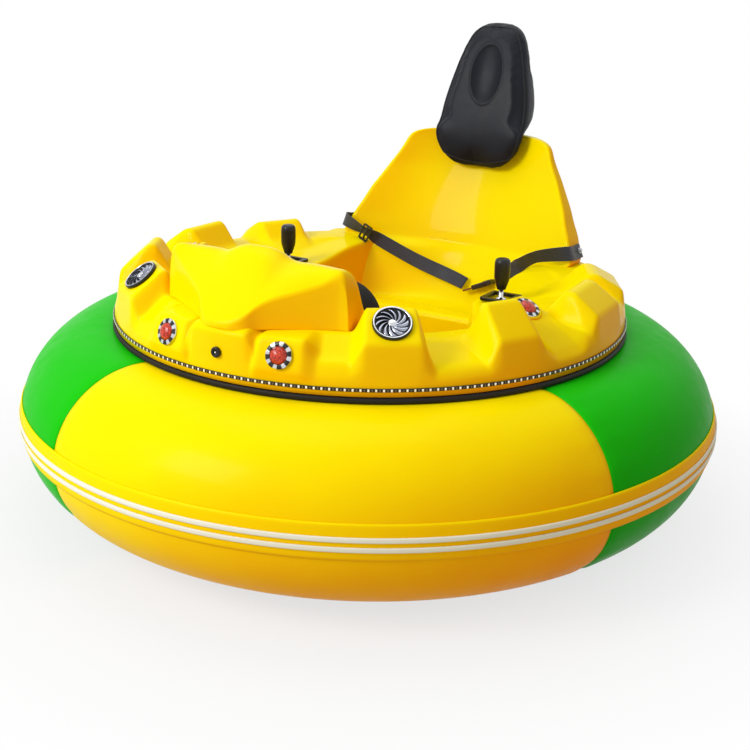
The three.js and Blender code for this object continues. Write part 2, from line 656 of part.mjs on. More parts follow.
// ---- chassis, battery, drives ----
const slotX = driveW / 2 + 12;
const slotY = driveR + 10;
const slots = [1, -1].map((sign) => block(sign * driveX - slotX, sign * driveX + slotX,
  driveY - slotY, driveY + slotY, plateTop - 20, plateTop + 20));
const liftPad = block(-80, 80, -120, 120, plateTop - plateThick - padDrop, plateTop - 1);
add('chassis_frame', 0x3a3d42, join(
  cut(prism(circle(chassisR, 64), plateThick).translate(0, 0, plateTop - plateThick), ...slots), liftPad), 0.5, 0.6);
add('battery', 0x26282c, block(-165, 165, 318, 398, floorTop + gap, floorTop + 240), 0.6);
const driveZ = driveR;
for (const [side, sign] of [['left', 1], ['right', -1]]) {
  const across = (g) => placed(g, [0, driveY, driveZ], [0, sign * 90, 0]);
  const plateBottom = plateTop - plateThick - gap;
  const box = block(Math.min(sign * 232, sign * 284), Math.max(sign * 232, sign * 284), driveY - 36, driveY + 36,
    driveZ - 34, plateBottom);
  const can = across(spun([[0, 96], [30, 96], [32, 99], [32, 240], [0, 240]], 28));
  add(`drive_motor_${side}`, 0x4a4d52, join(box, can), 0.5, 0.6);
  add(`wheel_rim_${side}`, steel, across(spun([
    [0, 289.3], [16, 289.3], [16, driveX - 14], [54, driveX - 14], [54, driveX - 24], [61.7, driveX - 24],
    [61.7, driveX + 24], [54, driveX + 24], [54, driveX - 4], [22, driveX - 4], [20, driveX + 16], [0, driveX + 16],
  ], 24)), 0.4, 0.7);
  add(`tyre_${side}`, 0x1c1c1c, across(spun([
    [62, driveX - 25], [82, driveX - 28], [96, driveX - 24], [driveR, driveX - 16], [driveR, driveX + 16],
    [96, driveX + 24], [82, driveX + 28], [62, driveX + 25],
  ], 40)), 0.85);
}

// ---- castors ----
['front', 'rear'].forEach((end, i) => {
  const swivelY = castorY[i];
  const wheelY = swivelY + castorTrail;
  const legLine = [[swivelY - 24, 129], [swivelY - 24, 112], [wheelY - 11, castorR], [wheelY - 7, 32],
    [wheelY + 7, 32], [wheelY + 11, castorR], [swivelY + 26, 112], [swivelY + 26, 129]];
  const leg = (x) => loft([x, x + 4].map((at) => legLine.map(([y, z]) => [at, y, z])));
  const crown = block(-24, 24, swivelY - 24, swivelY + 26, 108, 129);
  const stem = spun([[0, 0], [9, 0], [9, 10.7], [0, 10.7]], 20).translate(0, swivelY, 124);
  add(`castor_fork_${end}`, steel, join(crown, leg(-24), leg(20), stem), 0.4, 0.8);
  add(`castor_wheel_${end}`, 0x2a2a2c, placed(spun([
    [0, -19.7], [9, -19.7], [9, -13], [34, -13], [39, -11], [castorR, -8], [castorR, 8], [39, 11], [34, 13],
    [9, 13], [9, 19.7], [0, 19.7],
  ], 24), [0, wheelY, castorR], [0, 90, 0]), 0.8);
});

export default group;
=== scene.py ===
# Inflatable bumper car: smooth skins, soft headrest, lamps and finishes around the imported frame.
# Metres, +Z up, -Y is the front of the car, +X is the rider's left.
from math import atan2, copysign, cos, degrees, exp, hypot, pi, radians, sin, sqrt

import bmesh
import bpy
from mathutils import Matrix, Vector
from mathutils.bvhtree import BVHTree


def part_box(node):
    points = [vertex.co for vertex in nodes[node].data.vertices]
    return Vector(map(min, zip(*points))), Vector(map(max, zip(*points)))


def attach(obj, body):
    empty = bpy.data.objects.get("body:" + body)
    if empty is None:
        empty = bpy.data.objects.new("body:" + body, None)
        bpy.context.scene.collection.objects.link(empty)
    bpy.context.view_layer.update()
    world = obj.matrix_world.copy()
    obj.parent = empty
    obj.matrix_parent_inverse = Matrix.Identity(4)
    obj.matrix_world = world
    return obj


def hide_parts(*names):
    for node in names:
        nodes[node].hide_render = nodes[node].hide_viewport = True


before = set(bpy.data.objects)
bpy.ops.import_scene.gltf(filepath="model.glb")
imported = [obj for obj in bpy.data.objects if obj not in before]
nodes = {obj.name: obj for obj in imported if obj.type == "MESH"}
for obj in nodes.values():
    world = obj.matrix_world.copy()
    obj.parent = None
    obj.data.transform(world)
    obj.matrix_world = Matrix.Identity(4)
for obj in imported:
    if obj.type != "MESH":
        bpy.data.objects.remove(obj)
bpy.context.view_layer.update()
scene = bpy.context.scene
scene.view_settings.view_transform = "Standard"
print("frame loaded")

# camera, floor and light
view = {
    "place": (1.7853, -2.9971, 1.5378),
    "turn": (70.9986, -1.1953, 30.9144),
    "lens": 63.07,
    "floorSize": 40.0, "floorGlow": 0.72, "shadowEnds": (0.7, 1.5),
    "worldLevel": 0.54,
    "lamps": [  # name, place, aimed at, size, watts
        ("keyLamp", (-1.9, -4.3, 3.5), (0.0, -0.1, 0.5), 2.0, 164.0),
        ("topLamp", (-0.8, 0.4, 4.8), (0.0, 0.0, 0.5), 3.0, 46.0),
    ],
}


def addCamera():
    lens = bpy.data.cameras.new("camera")
    lens.lens = view["lens"]
    lens.sensor_width = 36
    lens.clip_end = 100
    camera = bpy.data.objects.new("camera", lens)
    camera.location = view["place"]
    camera.rotation_euler = [radians(turn) for turn in view["turn"]]
    scene.collection.objects.link(camera)
    scene.camera = camera


def addLamps():
    for name, place, target, size, watts in view["lamps"]:
        lamp = bpy.data.lights.new(name, "AREA")
        lamp.energy = watts
        lamp.size = size
        holder = bpy.data.objects.new(name, lamp)
        holder.location = place
        aim = Vector(target) - Vector(place)
        holder.rotation_euler = aim.to_track_quat("-Z", "Y").to_euler()
        scene.collection.objects.link(holder)


# finishes
class Wire:
    # a node's output that can stand in a sum
    def __init__(self, tree, output):
        self.tree = tree
        self.output = output

    def maths(self, operation, first, second=0.0):
        node = self.tree.nodes.new("ShaderNodeMath")
        node.operation = operation
        for socket, value in zip(node.inputs, (first, second)):
            if isinstance(value, Wire):
                self.tree.links.new(value.output, socket)
            else:
                socket.default_value = value
        return Wire(self.tree, node.outputs[0])

    def __add__(self, other):
        return self.maths("ADD", self, other)

    __radd__ = __add__

    def __mul__(self, other):
        return self.maths("MULTIPLY", self, other)

    __rmul__ = __mul__

    def __sub__(self, other):
        return self.maths("SUBTRACT", self, other)

    def __rsub__(self, other):
        return self.maths("SUBTRACT", other, self)

    def __gt__(self, other):
        return self.maths("GREATER_THAN", self, other)


class Finish:
    # one material: constants on the shader, then nodes that vary it over the surface
    def __init__(self, name, **constants):
        self.material = bpy.data.materials.new(name)
        self.material.use_nodes = True
        self.tree = self.material.node_tree
        self.shader = self.tree.nodes["Principled BSDF"]
        names = {socket.name.replace(" ", "").lower(): socket for socket in self.shader.inputs}
        for key, value in constants.items():
            names[key.lower()].default_value = value

    def node(self, kind, settings=None, inputs=None, output=0):
        made = self.tree.nodes.new("ShaderNode" + kind)
        for key, value in (settings or {}).items():
            setattr(made, key, value)
        for key, value in (inputs or {}).items():
            if isinstance(value, Wire):
                self.tree.links.new(value.output, made.inputs[key])
            else:
                made.inputs[key].default_value = value
        return Wire(self.tree, made.outputs[output])

    def feed(self, socket, wire):
        self.tree.links.new(wire.output, self.shader.inputs[socket])
        return self

    def place(self):
        return self.node("TexCoord", output=3)

    def noise(self, scale, detail=3.0, roughness=0.5, stretch=None):
        spot = self.place()
        if stretch:
            spot = self.node("Mapping", {}, {"Vector": spot, "Scale": stretch})
        return self.node("TexNoise", {}, {"Vector": spot, "Scale": scale, "Detail": detail,
                                          "Roughness": roughness})

    def spread(self, wire, low, high, fromLow=0.3, fromHigh=0.7):
        return self.node("MapRange", {}, {"Value": wire, "From Min": fromLow, "From Max": fromHigh,
                                          "To Min": low, "To Max": high})

    def blend(self, factor, first, second):
        return self.node("Mix", {"data_type": "RGBA"}, {0: factor, 6: first, 7: second}, output=2)

    def paintedShadeAndDrift(self, drift):
        # painted shade: colour deepens on faces that look down or towards +X, away from the key lamp, with a
        # slow drift over the sheet
        normal = self.node("TexCoord", output=1)
        aside = self.node("SeparateXYZ", {}, {0: normal})
        upward = self.node("SeparateXYZ", {}, {0: normal}, output=2)
        # share of painted shade, more on faces that look down or aside, plus the random drift
        share = 0.20 - upward * 0.36 + aside * 0.62 + (drift - 0.5) * 0.4
        return self.node("Clamp", {}, {"Value": share})

    def bump(self, height, strength, distance):
        wire = self.node("Bump", {}, {"Height": height, "Strength": strength, "Distance": distance})
        return self.feed("Normal", wire)


def colour(red, green, blue):
    # a screen colour, 0 to 255, as the light value that a shader takes
    def light(level):
        level /= 255
        return level / 12.92 if level <= 0.04045 else ((level + 0.055) / 1.055) ** 2.4
    return (light(red), light(green), light(blue), 1.0)


def shifted(plain, gain, lift=0.0):
    # the same colour made paler or darker
    return tuple(min(1, channel * gain + lift) for channel in plain[:3]) + (1.0,)


def seenDirectly(tree):
    # above zero for what the camera, a reflection or a clear piece looks at
    ray = tree.nodes.new("ShaderNodeLightPath")
    return Wire(tree, ray.outputs["Is Camera Ray"]) + Wire(tree, ray.outputs["Is Glossy Ray"]) \
        + Wire(tree, ray.outputs["Is Transmission Ray"])


def glossyMoulding(name, plain, shadeAndDriftColour, roughness=0.2):
    # gelcoat over moulded fibre: painted shade on faces that look down or aside, slow colour drift, faint
    # orange peel, dulled patches
    made = Finish(name, BaseColor=plain, CoatWeight=0.05, CoatRoughness=0.03, Roughness=roughness,
                  SpecularIORLevel=0.015)
    # base colour moves towards the painted shade colour on faces that look down or aside
    made.feed("Base Color", made.blend(made.paintedShadeAndDrift(made.noise(2.6, 4)), plain, shadeAndDriftColour))
    made.feed("Roughness", made.spread(made.noise(9, 5), roughness - 0.05, roughness + 0.09))
    ripple = made.noise(24, 2) * 0.7 + made.noise(210, 2) * 0.12
    made.bump(ripple, 0.12, 0.004)
    return made.material


def coatedFabric(name, plain, shadeAndDriftColour, roughness=0.34):
    # welded coated fabric: painted shade on faces that look down or aside, slow colour drift, fine weave
    # under the coating, slight unevenness and scuffs
    made = Finish(name, BaseColor=plain, CoatWeight=0.03, CoatRoughness=0.15, Roughness=roughness,
                  SpecularIORLevel=0.02)
    # base colour moves towards the painted shade colour on faces that look down or aside
    made.feed("Base Color", made.blend(made.paintedShadeAndDrift(made.noise(3.2, 5)), plain, shadeAndDriftColour))
    scuff = made.noise(14, 6, 0.7)
    made.feed("Roughness", made.spread(scuff, roughness - 0.06, roughness + 0.12))
    spacing = {"Vector": made.place(), "Scale": 180.0}
    threads = made.node("TexWave", {"wave_type": "BANDS", "bands_direction": "Z"}, spacing)
    across = made.node("TexWave", {"wave_type": "RINGS", "rings_direction": "Z"}, spacing)
    weave = (threads + across) * 0.04 + made.noise(7, 3) * 1.4 + scuff * 0.15
    made.bump(weave, 0.2, 0.004)
    return made.material


def rubberFinish(name, plain, grain=260.0, roughness=0.55, depth=0.0006):
    # matt rubber or foam with a skin of dust
    made = Finish(name, BaseColor=plain, Roughness=roughness, SpecularIORLevel=0.25)
    dust = made.noise(6, 6, 0.65)
    made.feed("Base Color", made.blend(made.spread(dust, 0, 0.6), plain, shifted(plain, 1.9, 0.006)))
    made.feed("Roughness", made.spread(dust, roughness - 0.08, roughness + 0.15))
    made.bump(made.noise(grain, 3, 0.6), 0.5, depth)
    return made.material


def leatherGrain(name, plain):
    # smooth black vinyl with a fine grain
    made = Finish(name, BaseColor=plain, Roughness=0.36, SpecularIORLevel=0.2)
    cells = made.node("TexVoronoi", {"feature": "DISTANCE_TO_EDGE"}, {"Vector": made.place(), "Scale": 620.0})
    wear = made.noise(8, 5, 0.6)
    made.feed("Base Color", made.blend(made.spread(wear, 0, 0.7), plain, shifted(plain, 2.6, 0.002)))
    made.feed("Roughness", made.spread(wear, 0.28, 0.46))
    made.bump(made.spread(cells, 0, 1, 0, 0.25) + wear * 0.5, 0.25, 0.0005)
    return made.material


def metalFinish(name, plain, roughness, streak=(1, 1, 1), scale=300.0):
    # bare metal with fine lines along the streak
    made = Finish(name, BaseColor=plain, Metallic=1.0, Roughness=roughness)
    lines = made.noise(scale, 3, 0.6, streak)
    made.feed("Roughness", made.spread(lines, roughness * 0.7, roughness * 1.4))
    made.feed("Base Color", made.blend(made.spread(made.noise(18, 4), 0, 1), plain, shifted(plain, 0.8)))
    made.bump(lines, 0.15, 0.0003)
    return made.material


def plasticFinish(name, plain, roughness=0.3, depth=0.0002):
    # moulded plastic with a handled, misty surface
    made = Finish(name, BaseColor=plain, Roughness=roughness, SpecularIORLevel=0.35)
    mist = made.noise(30, 5, 0.6)
    made.feed("Base Color", made.blend(made.spread(mist, 0, 0.6), plain, shifted(plain, 1.5, 0.004)))
    made.feed("Roughness", made.spread(mist, roughness - 0.06, roughness + 0.1))
    made.bump(made.noise(420, 2), 0.3, depth)
    return made.material


def paintedSteel(name, plain, roughness=0.42):
    # frame paint with grime and small rust spots
    made = Finish(name, BaseColor=plain, Metallic=0.3, Roughness=roughness)
    grime = made.noise(11, 6, 0.7)
    rust = made.spread(made.noise(34, 6, 0.7), 0, 1, 0.62, 0.72)
    shade = made.blend(made.spread(grime, 0, 0.7), plain, colour(70, 66, 60))
    made.feed("Base Color", made.blend(rust * 0.5, shade, colour(110, 62, 34)))
    made.feed("Roughness", made.spread(grime, roughness, roughness + 0.25))
    made.bump(grime * 0.4 + made.noise(160, 3) * 0.3, 0.35, 0.0008)
    return made.material


def floorFinish():
    # white to the camera and in reflections, pale and shadow-catching to the light
    pale, cool = colour(214, 214, 214), colour(210, 210, 212)
    made = Finish("paleFloor", BaseColor=pale, Roughness=0.9)
    made.feed("Base Color", made.blend(made.spread(made.noise(0.7, 3), 0, 1), pale, cool))
    tree = made.tree
    glow = tree.nodes.new("ShaderNodeEmission")
    glow.inputs["Color"].default_value = (1, 1, 1, 1)
    seen = seenDirectly(tree)
    far = made.node("VectorMath", {"operation": "LENGTH"}, {0: made.place()}, output=1)
    clear = made.spread(far, 0.0, 1.0, *view["shadowEnds"])
    mix = tree.nodes.new("ShaderNodeMixShader")
    tree.links.new((seen * (view["floorGlow"] + clear * (1 - view["floorGlow"]))).output, mix.inputs[0])
    tree.links.new(made.shader.outputs[0], mix.inputs[1])
    tree.links.new(glow.outputs[0], mix.inputs[2])
    tree.links.new(mix.outputs[0], tree.nodes["Material Output"].inputs["Surface"])
    return made.material


# the second colour of each is painted shade, laid on faces that look down or aside and spread by a slow drift
yellowGel = glossyMoulding("yellowGelcoat", colour(254, 229, 0), colour(252, 150, 0))
yellowFabric = coatedFabric("yellowTubeFabric", colour(254, 229, 0), colour(250, 142, 0))
greenFabric = coatedFabric("greenTubeFabric", colour(26, 192, 13), colour(22, 146, 0))
bandYellow = coatedFabric("yellowBandFabric", colour(254, 228, 0), colour(250, 156, 0), 0.42)
stripeWhite = coatedFabric("whiteStripeFabric", colour(240, 238, 224), colour(226, 216, 180), 0.42)
trimRubber = rubberFinish("blackTrimRubber", colour(22, 18, 15), 320.0, 0.55)
tapeBlack = plasticFinish("blackLightTape", colour(26, 24, 24), 0.25)
vinylBlack = leatherGrain("blackHeadrestVinyl", colour(8, 10, 19))
pipingBlack = rubberFinish("blackPiping", colour(20, 20, 22), 500.0, 0.45)
controlBlack = plasticFinish("blackControlPlastic", colour(18, 18, 19), 0.3)
foamBlack = rubberFinish("blackHandFoam", colour(14, 14, 15), 700.0, 0.6, 0.0005)
chrome = metalFinish("brightChrome", colour(222, 224, 228), 0.12)
brushed = metalFinish("brushedSteel", colour(186, 188, 192), 0.28, (1, 1, 9))
darkPaint = paintedSteel("darkFramePaint", colour(64, 67, 72))
tyreRubber = rubberFinish("tyreRubber", colour(34, 34, 35), 90.0, 0.75, 0.003)
batteryCase = plasticFinish("batteryCase", colour(48, 50, 54), 0.45, 0.0005)
print("finishes made")


# shaping helpers
def curveAt(rows, key):
    # smooth values between [key, value, value ...] rows
    if key <= rows[0][0]:
        return list(rows[0][1:])
    if key >= rows[-1][0]:
        return list(rows[-1][1:])
    at = max(i for i, row in enumerate(rows) if row[0] <= key)
    before, low, high, after = rows[max(at - 1, 0)], rows[at], rows[at + 1], rows[min(at + 2, len(rows) - 1)]
    width = high[0] - low[0]
    t = (key - low[0]) / width
    out = []
    for k in range(1, len(low)):
        slopeLow = (high[k] - before[k]) / (high[0] - before[0]) * width
        slopeHigh = (after[k] - low[k]) / (after[0] - low[0]) * width
        out.append((2 * t ** 3 - 3 * t * t + 1) * low[k] + (t ** 3 - 2 * t * t + t) * slopeLow
                   + (3 * t * t - 2 * t ** 3) * high[k] + (t ** 3 - t * t) * slopeHigh)
    return out


def softStep(t):
    t = max(0.0, min(1.0, t))
    return t * t * (3 - 2 * t)


def polar(radius, turn, height):
    # turn in degrees from the front towards the rider's left
    return (radius * sin(radians(turn)), -radius * cos(radians(turn)), height)


def roundedLine(corners, radii, closed=False, steps=4):
    # a line through the corners with each corner eased over its own distance
    line = []
    count = len(corners)
    for i, corner in enumerate(corners):
        if not closed and i in (0, count - 1):
            line.append(tuple(corner))
            continue
        here = Vector(corner)
        back = Vector(corners[i - 1]) - here
        ahead = Vector(corners[(i + 1) % count]) - here
        start = here + back.normalized() * min(radii[i], back.length * 0.45) if back.length else here
        end = here + ahead.normalized() * min(radii[i], ahead.length * 0.45) if ahead.length else here
        for k in range(steps + 1):
            t = k / steps
            line.append(tuple(start * (1 - t) ** 2 + here * 2 * t * (1 - t) + end * t * t))
    return line


def finishMesh(name, bm, finishes, smooth=True, weld=0.00005):
    # an object at the origin from a welded bmesh, with its finishes in order
    bmesh.ops.remove_doubles(bm, verts=bm.verts, dist=weld)
    bmesh.ops.recalc_face_normals(bm, faces=bm.faces)
    mesh = bpy.data.meshes.new(name)
    bm.to_mesh(mesh)
    bm.free()
    if smooth:
        mesh.polygons.foreach_set("use_smooth", [True] * len(mesh.polygons))
    for finish in finishes:
        mesh.materials.append(finish)
    piece = bpy.data.objects.new(name, mesh)
    scene.collection.objects.link(piece)
    return piece


def spunSkin(rows, steps, place, ring=False, sweep=360, marks=False):
    # a chain of rows spun about Z, then every point put in its place by row and step
    bm = bmesh.new()
    layers = [bm.verts.layers.float.new(label) for label in ("along", "around")] if marks else []
    chain = [bm.verts.new((1, 0, row)) for row in range(rows)]
    edges = [bm.edges.new(pair) for pair in zip(chain, chain[1:])]
    if ring:
        edges.append(bm.edges.new((chain[-1], chain[0])))
    bmesh.ops.spin(bm, geom=chain + edges, angle=radians(sweep), steps=steps, axis=(0, 0, 1), cent=(0, 0, 0),
                   use_merge=sweep == 360)
    bm.verts.ensure_lookup_table()
    for vert in bm.verts:
        turn = degrees(atan2(vert.co.y, vert.co.x)) % 360
        step = round(turn / (sweep / steps))
        if sweep == 360:
            step %= steps
        row = round(vert.co.z)
        for layer, value in zip(layers, (row, step)):
            vert[layer] = value
        vert.co = place(row, step)
    if not ring or sweep != 360:
        openEdges = [edge for edge in bm.edges if edge.is_boundary]
        if openEdges and (ring or sweep == 360):
            bmesh.ops.holes_fill(bm, edges=openEdges, sides=0)
    return bm


def turnedPiece(profile, steps, place=Matrix.Identity(4)):
    # a profile of (radius, height) spun about its own Z, then stood in place
    bm = bmesh.new()
    chain = [bm.verts.new((radius, 0, height)) for radius, height in profile]
    edges = [bm.edges.new(pair) for pair in zip(chain, chain[1:])]
    bmesh.ops.spin(bm, geom=chain + edges, angle=2 * pi, steps=steps, axis=(0, 0, 1), cent=(0, 0, 0),
                   use_merge=True)
    bmesh.ops.remove_doubles(bm, verts=bm.verts, dist=0.00002)
    bm.transform(place)
    return bm


def joinMeshes(target, *others):
    # adds other bmeshes' faces into the first one
    for other in others:
        spare = bpy.data.meshes.new("spare")
        other.to_mesh(spare)
        other.free()
        target.from_mesh(spare)
        bpy.data.meshes.remove(spare)
    return target


def stand(place, turn, tilt):
    # frame whose Z looks outwards at the given turn and tilt above level
    lean = Matrix.Rotation(radians(90 - tilt), 4, "X")
    return Matrix.Translation(place) @ Matrix.Rotation(radians(turn), 4, "Z") @ lean


def carry(piece, body, slot, *replaced):
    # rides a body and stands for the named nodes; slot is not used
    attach(piece, body)
    if replaced:
        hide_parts(*replaced)
    return piece


# air tube
tube = {
    "ring": 0.704, "halfWidth": 0.244, "halfHeight": 0.230, "middle": 0.274,
    "firstSeam": 67.5, "seamGap": 0.02, "steps": 150, "around": 96,
    "seamDip": 0.0035, "seamWidth": 0.9, "puckers": 0.0016, "puckerReach": 4.2,
    "bandLow": 0.239, "bandHigh": 0.325, "bandThick": 0.004, "easeOver": 0.004,
    "stripes": (0.290, 0.267), "stripeTall": 0.012, "stripeThick": 0.0042,
}


def tubePoint(turn, around, seam):
    # seam is the distance in degrees to the nearest welded seam
    dip = tube["seamDip"] * exp(-(seam / tube["seamWidth"]) ** 2)
    pull = exp(-(seam / tube["puckerReach"]) ** 1.4) * (1 - exp(-(seam / 0.5) ** 2))
    ruffle = sin(around * 23) + 0.6 * sin(around * 37 + 1.3) + 0.5 * sin(around * 11 + 0.4)
    wave = tube["puckers"] * pull * ruffle
    shrink = dip + wave * 0.5 + tube["puckers"] * pull * 0.6
    return polar(tube["ring"] + (tube["halfWidth"] - shrink) * cos(around), turn,
                 tube["middle"] + (tube["halfHeight"] - shrink) * sin(around))


def makeTube():
    # four quarter panels, green at the sides
    steps, around, gap = tube["steps"], tube["around"], tube["seamGap"]
    for index, side in enumerate(("left", "rear", "right", "front")):
        start = tube["firstSeam"] + 90 * index + gap

        def place(row, step):
            share = step / steps
            return tubePoint(start + (90 - 2 * gap) * share, 2 * pi * row / around,
                             90 * min(share, 1 - share))

        panel = spunSkin(around, steps, place, ring=True, sweep=90)
        finish, slot = (yellowFabric, "tube_yellow") if index % 2 else (greenFabric, "tube_green")
        carry(finishMesh(f"tubePanel_{side}", panel, [finish]), "body", slot, f"tube_panel_{side}")


def tubeReach(height):
    # radius of the tube's outside at a height
    return tube["ring"] + tube["halfWidth"] * sqrt(1 - ((height - tube["middle"]) / tube["halfHeight"]) ** 2)


def makeGirdle(name, low, high, inset, outset, finish, slot, node, rows=10, edge=0.0012):
    # a flat band laid round the tube's outside, its edges eased
    section = []
    for i in range(rows + 1):
        share = i / rows
        height = low + (high - low) * share
        ease = edge * (1 - min(1, min(share, 1 - share) * (high - low) / tube["easeOver"])) ** 2
        section.append((tubeReach(height) + outset - ease, height))
    section += [(tubeReach(height) + inset, height) for _, height in reversed(section)]
    carry(finishMesh(name, hoop(section), [finish]), "body", slot, node)


def hoop(section, steps=240):
    # a closed section of (radius, height) spun round the car
    return spunSkin(len(section), steps, lambda row, step: polar(section[row][0], step * 360 / steps,
                                                                 section[row][1]), ring=True)


makeTube()
makeGirdle("rubBand", tube["bandLow"], tube["bandHigh"], 0.0005, tube["bandThick"], bandYellow,
           "tube_yellow", "rub_band", 16)
for name, height in zip(("upper", "lower"), tube["stripes"]):
    half = tube["stripeTall"] / 2
    makeGirdle(f"stripe_{name}", height - half, height + half, tube["bandThick"] + 0.0002,
               tube["bandThick"] + tube["stripeThick"], stripeWhite, "stripe_white", f"stripe_{name}")
print("tube, band and stripes made")

# edge trim and light strip
trim = {
    "section": [(0.672, 0.5046), (0.6945, 0.5046), (0.698, 0.508), (0.698, 0.516), (0.695, 0.5195),
                (0.672, 0.5195)],
    "tape": [(0.6931, 0.5340), (0.6956, 0.5340), (0.6956, 0.5425), (0.6931, 0.5425)],
    # lights along the tape, each with a small chip between it and the next
    "lights": 246, "sizes": [(0.0046, 0.0012, 0.0062), (0.0036, 0.0008, 0.0050)], "lift": 0.0004,
}


def makeRing(name, corners, radii, finish, slot, node):
    line = roundedLine([(radius, height, 0) for radius, height in corners], radii, closed=True, steps=3)
    carry(finishMesh(name, hoop(line), [finish]), "body", slot, node)


def makeTapeLights():
    bm = bmesh.new()
    radius, height = trim["tape"][1][0], (trim["tape"][0][1] + trim["tape"][2][1]) / 2
    for index in range(2 * trim["lights"]):
        turn = 180 * index / trim["lights"]
        light = bmesh.new()
        bmesh.ops.create_cube(light, size=1)
        for face in light.faces:
            face.material_index = index % 2
        light.transform(Matrix.Diagonal((*trim["sizes"][index % 2], 1)))
        bmesh.ops.bevel(light, geom=light.edges, offset=0.0005, affect="EDGES", segments=1, profile=0.5,
                        material=-1)
        here = Matrix.Translation(polar(radius + trim["lift"], turn, height))
        light.transform(here @ Matrix.Rotation(radians(turn), 4, "Z"))
        joinMeshes(bm, light)
    glow = Finish("whiteTapeLights", BaseColor=colour(244, 240, 226), Roughness=0.3, EmissionStrength=0.25)
    warm = glow.spread(glow.noise(45, 2), 0, 1)
    glow.feed("Base Color", glow.blend(warm, colour(250, 246, 236), colour(226, 214, 184)))
    glow.feed("Emission Color", glow.blend(warm, colour(255, 250, 236), colour(240, 226, 190)))
    chip = plasticFinish("tapeChips", colour(104, 88, 62), 0.35)
    carry(finishMesh("tapeLights", bm, [glow.material, chip], weld=0.00001), "body", "light_strip")


makeRing("edgeTrim", trim["section"], [0.001, 0.003, 0.004, 0.004, 0.004, 0.001], trimRubber, "trim_black",
         "edge_trim")
makeRing("lightTape", trim["tape"], [0.0005, 0.001, 0.001, 0.0005], tapeBlack, "light_strip", "led_strip")
makeTapeLights()
print("trim and light strip made")

# moulded body
body = {
    "columns": 720, "wall": 0.006, "base": 0.5213, "floor": 0.1476, "podFlank": 3.4,
    # radius and height of wall, wall top, ridge outside, ridge inside and inner foot
    "pods": {
        "nose": [(0.6905, 0.572), (0.690, 0.640), (0.672, 0.652), (0.610, 0.652), (0.560, 0.640)],
        "lamp": [(0.700, 0.572), (0.690, 0.604), (0.676, 0.642), (0.596, 0.648), (0.540, 0.626)],
        "fan": [(0.6905, 0.572), (0.685, 0.643), (0.604, 0.703), (0.586, 0.703), (0.545, 0.622)],
        "claw": [(0.6905, 0.572), (0.682, 0.632), (0.604, 0.704), (0.584, 0.702), (0.534, 0.622)],
        "side": [(0.6905, 0.560), (0.668, 0.580), (0.586, 0.626), (0.514, 0.668), (0.496, 0.668)],
        "flank": [(0.6905, 0.572), (0.682, 0.632), (0.612, 0.682), (0.586, 0.682), (0.536, 0.622)],
        "hind": [(0.6905, 0.572), (0.682, 0.620), (0.612, 0.658), (0.586, 0.658), (0.536, 0.614)],
        "rear": [(0.6905, 0.572), (0.689, 0.596), (0.686, 0.604), (0.600, 0.606), (0.545, 0.606)],
    },
    # kind, and the angles from the front between which it stands on each side
    "stands": [("nose", 0, 6), ("lamp", 9.3, 17.7), ("fan", 30.1, 40.6), ("claw", 57.5, 66),
               ("side", 72.2, 79.1), ("flank", 86.5, 99.5), ("hind", 114.5, 126), ("rear", 140, 180)],
    # pods whose outer face is flat instead of following the circle
    "flat": ("lamp", "fan", "claw", "side", "flank", "hind"),
    # the same five points between the pods: front collar, joystick bay, sides
    "collar": [(0.6905, 0.565), (0.677, 0.594), (0.655, 0.606), (0.604, 0.650), (0.545, 0.626)],
    "bay": [(0.6905, 0.560), (0.680, 0.576), (0.662, 0.586), (0.600, 0.596), (0.545, 0.602)],
    "ground": [(0.6905, 0.572), (0.680, 0.592), (0.662, 0.602), (0.600, 0.606), (0.545, 0.606)],
    "zones": [(33.5, 37.5), (60.5, 63.5)],
    "deck": [[0, 0.606], [66, 0.604], [82, 0.589], [124, 0.589], [140, 0.604]],
    # cockpit opening: half width, front and rear edge, corner radii; wider bay in front of the joysticks
    "opening": (0.275, -0.400, 0.600, 0.095, 0.120), "bayEdge": (0.460, -0.340, 0.273, 62.1),
    # inside this radius the line is stretched to reach the opening; the drawn points end at the second
    "steady": 0.674, "drawnTo": 0.545, "deckMargin": 0.026, "rimReach": 0.130, "rimLeast": 0.012,
    # cockpit wall: growth and largest radius against the opening, height
    "well": [(-0.008, 0.505, 0.452), (-0.014, 0.440, 0.400), (-0.020, 0.436, 0.1476)],
    "innerPoints": (0, 2, 3, 4, 5, 6, 7, 10, 11, 12, 13),
    "ease": [0, 0.004, 0.010, 0.012, 0.014, 0.014, 0.016, 0.016, 0.012, 0.010, 0.010, 0.012, 0.012, 0],
}


def podAt(side):
    # how much of a pod stands at this angle, its kind, and its share of the radius
    best = (0.0, "fan", 1.0)
    for kind, start, end in body["stands"]:
        outside = max(start - side, side - end, 0)
        weight = softStep(1 - outside / body["podFlank"])
        if weight > best[0]:
            half = (end - start) / 2
            reach = min(abs(side - start - half), half)
            flat = cos(radians(half)) / cos(radians(reach)) if kind in body["flat"] else 1.0
            best = (weight, kind, 1 - (1 - flat) * weight)
    return best


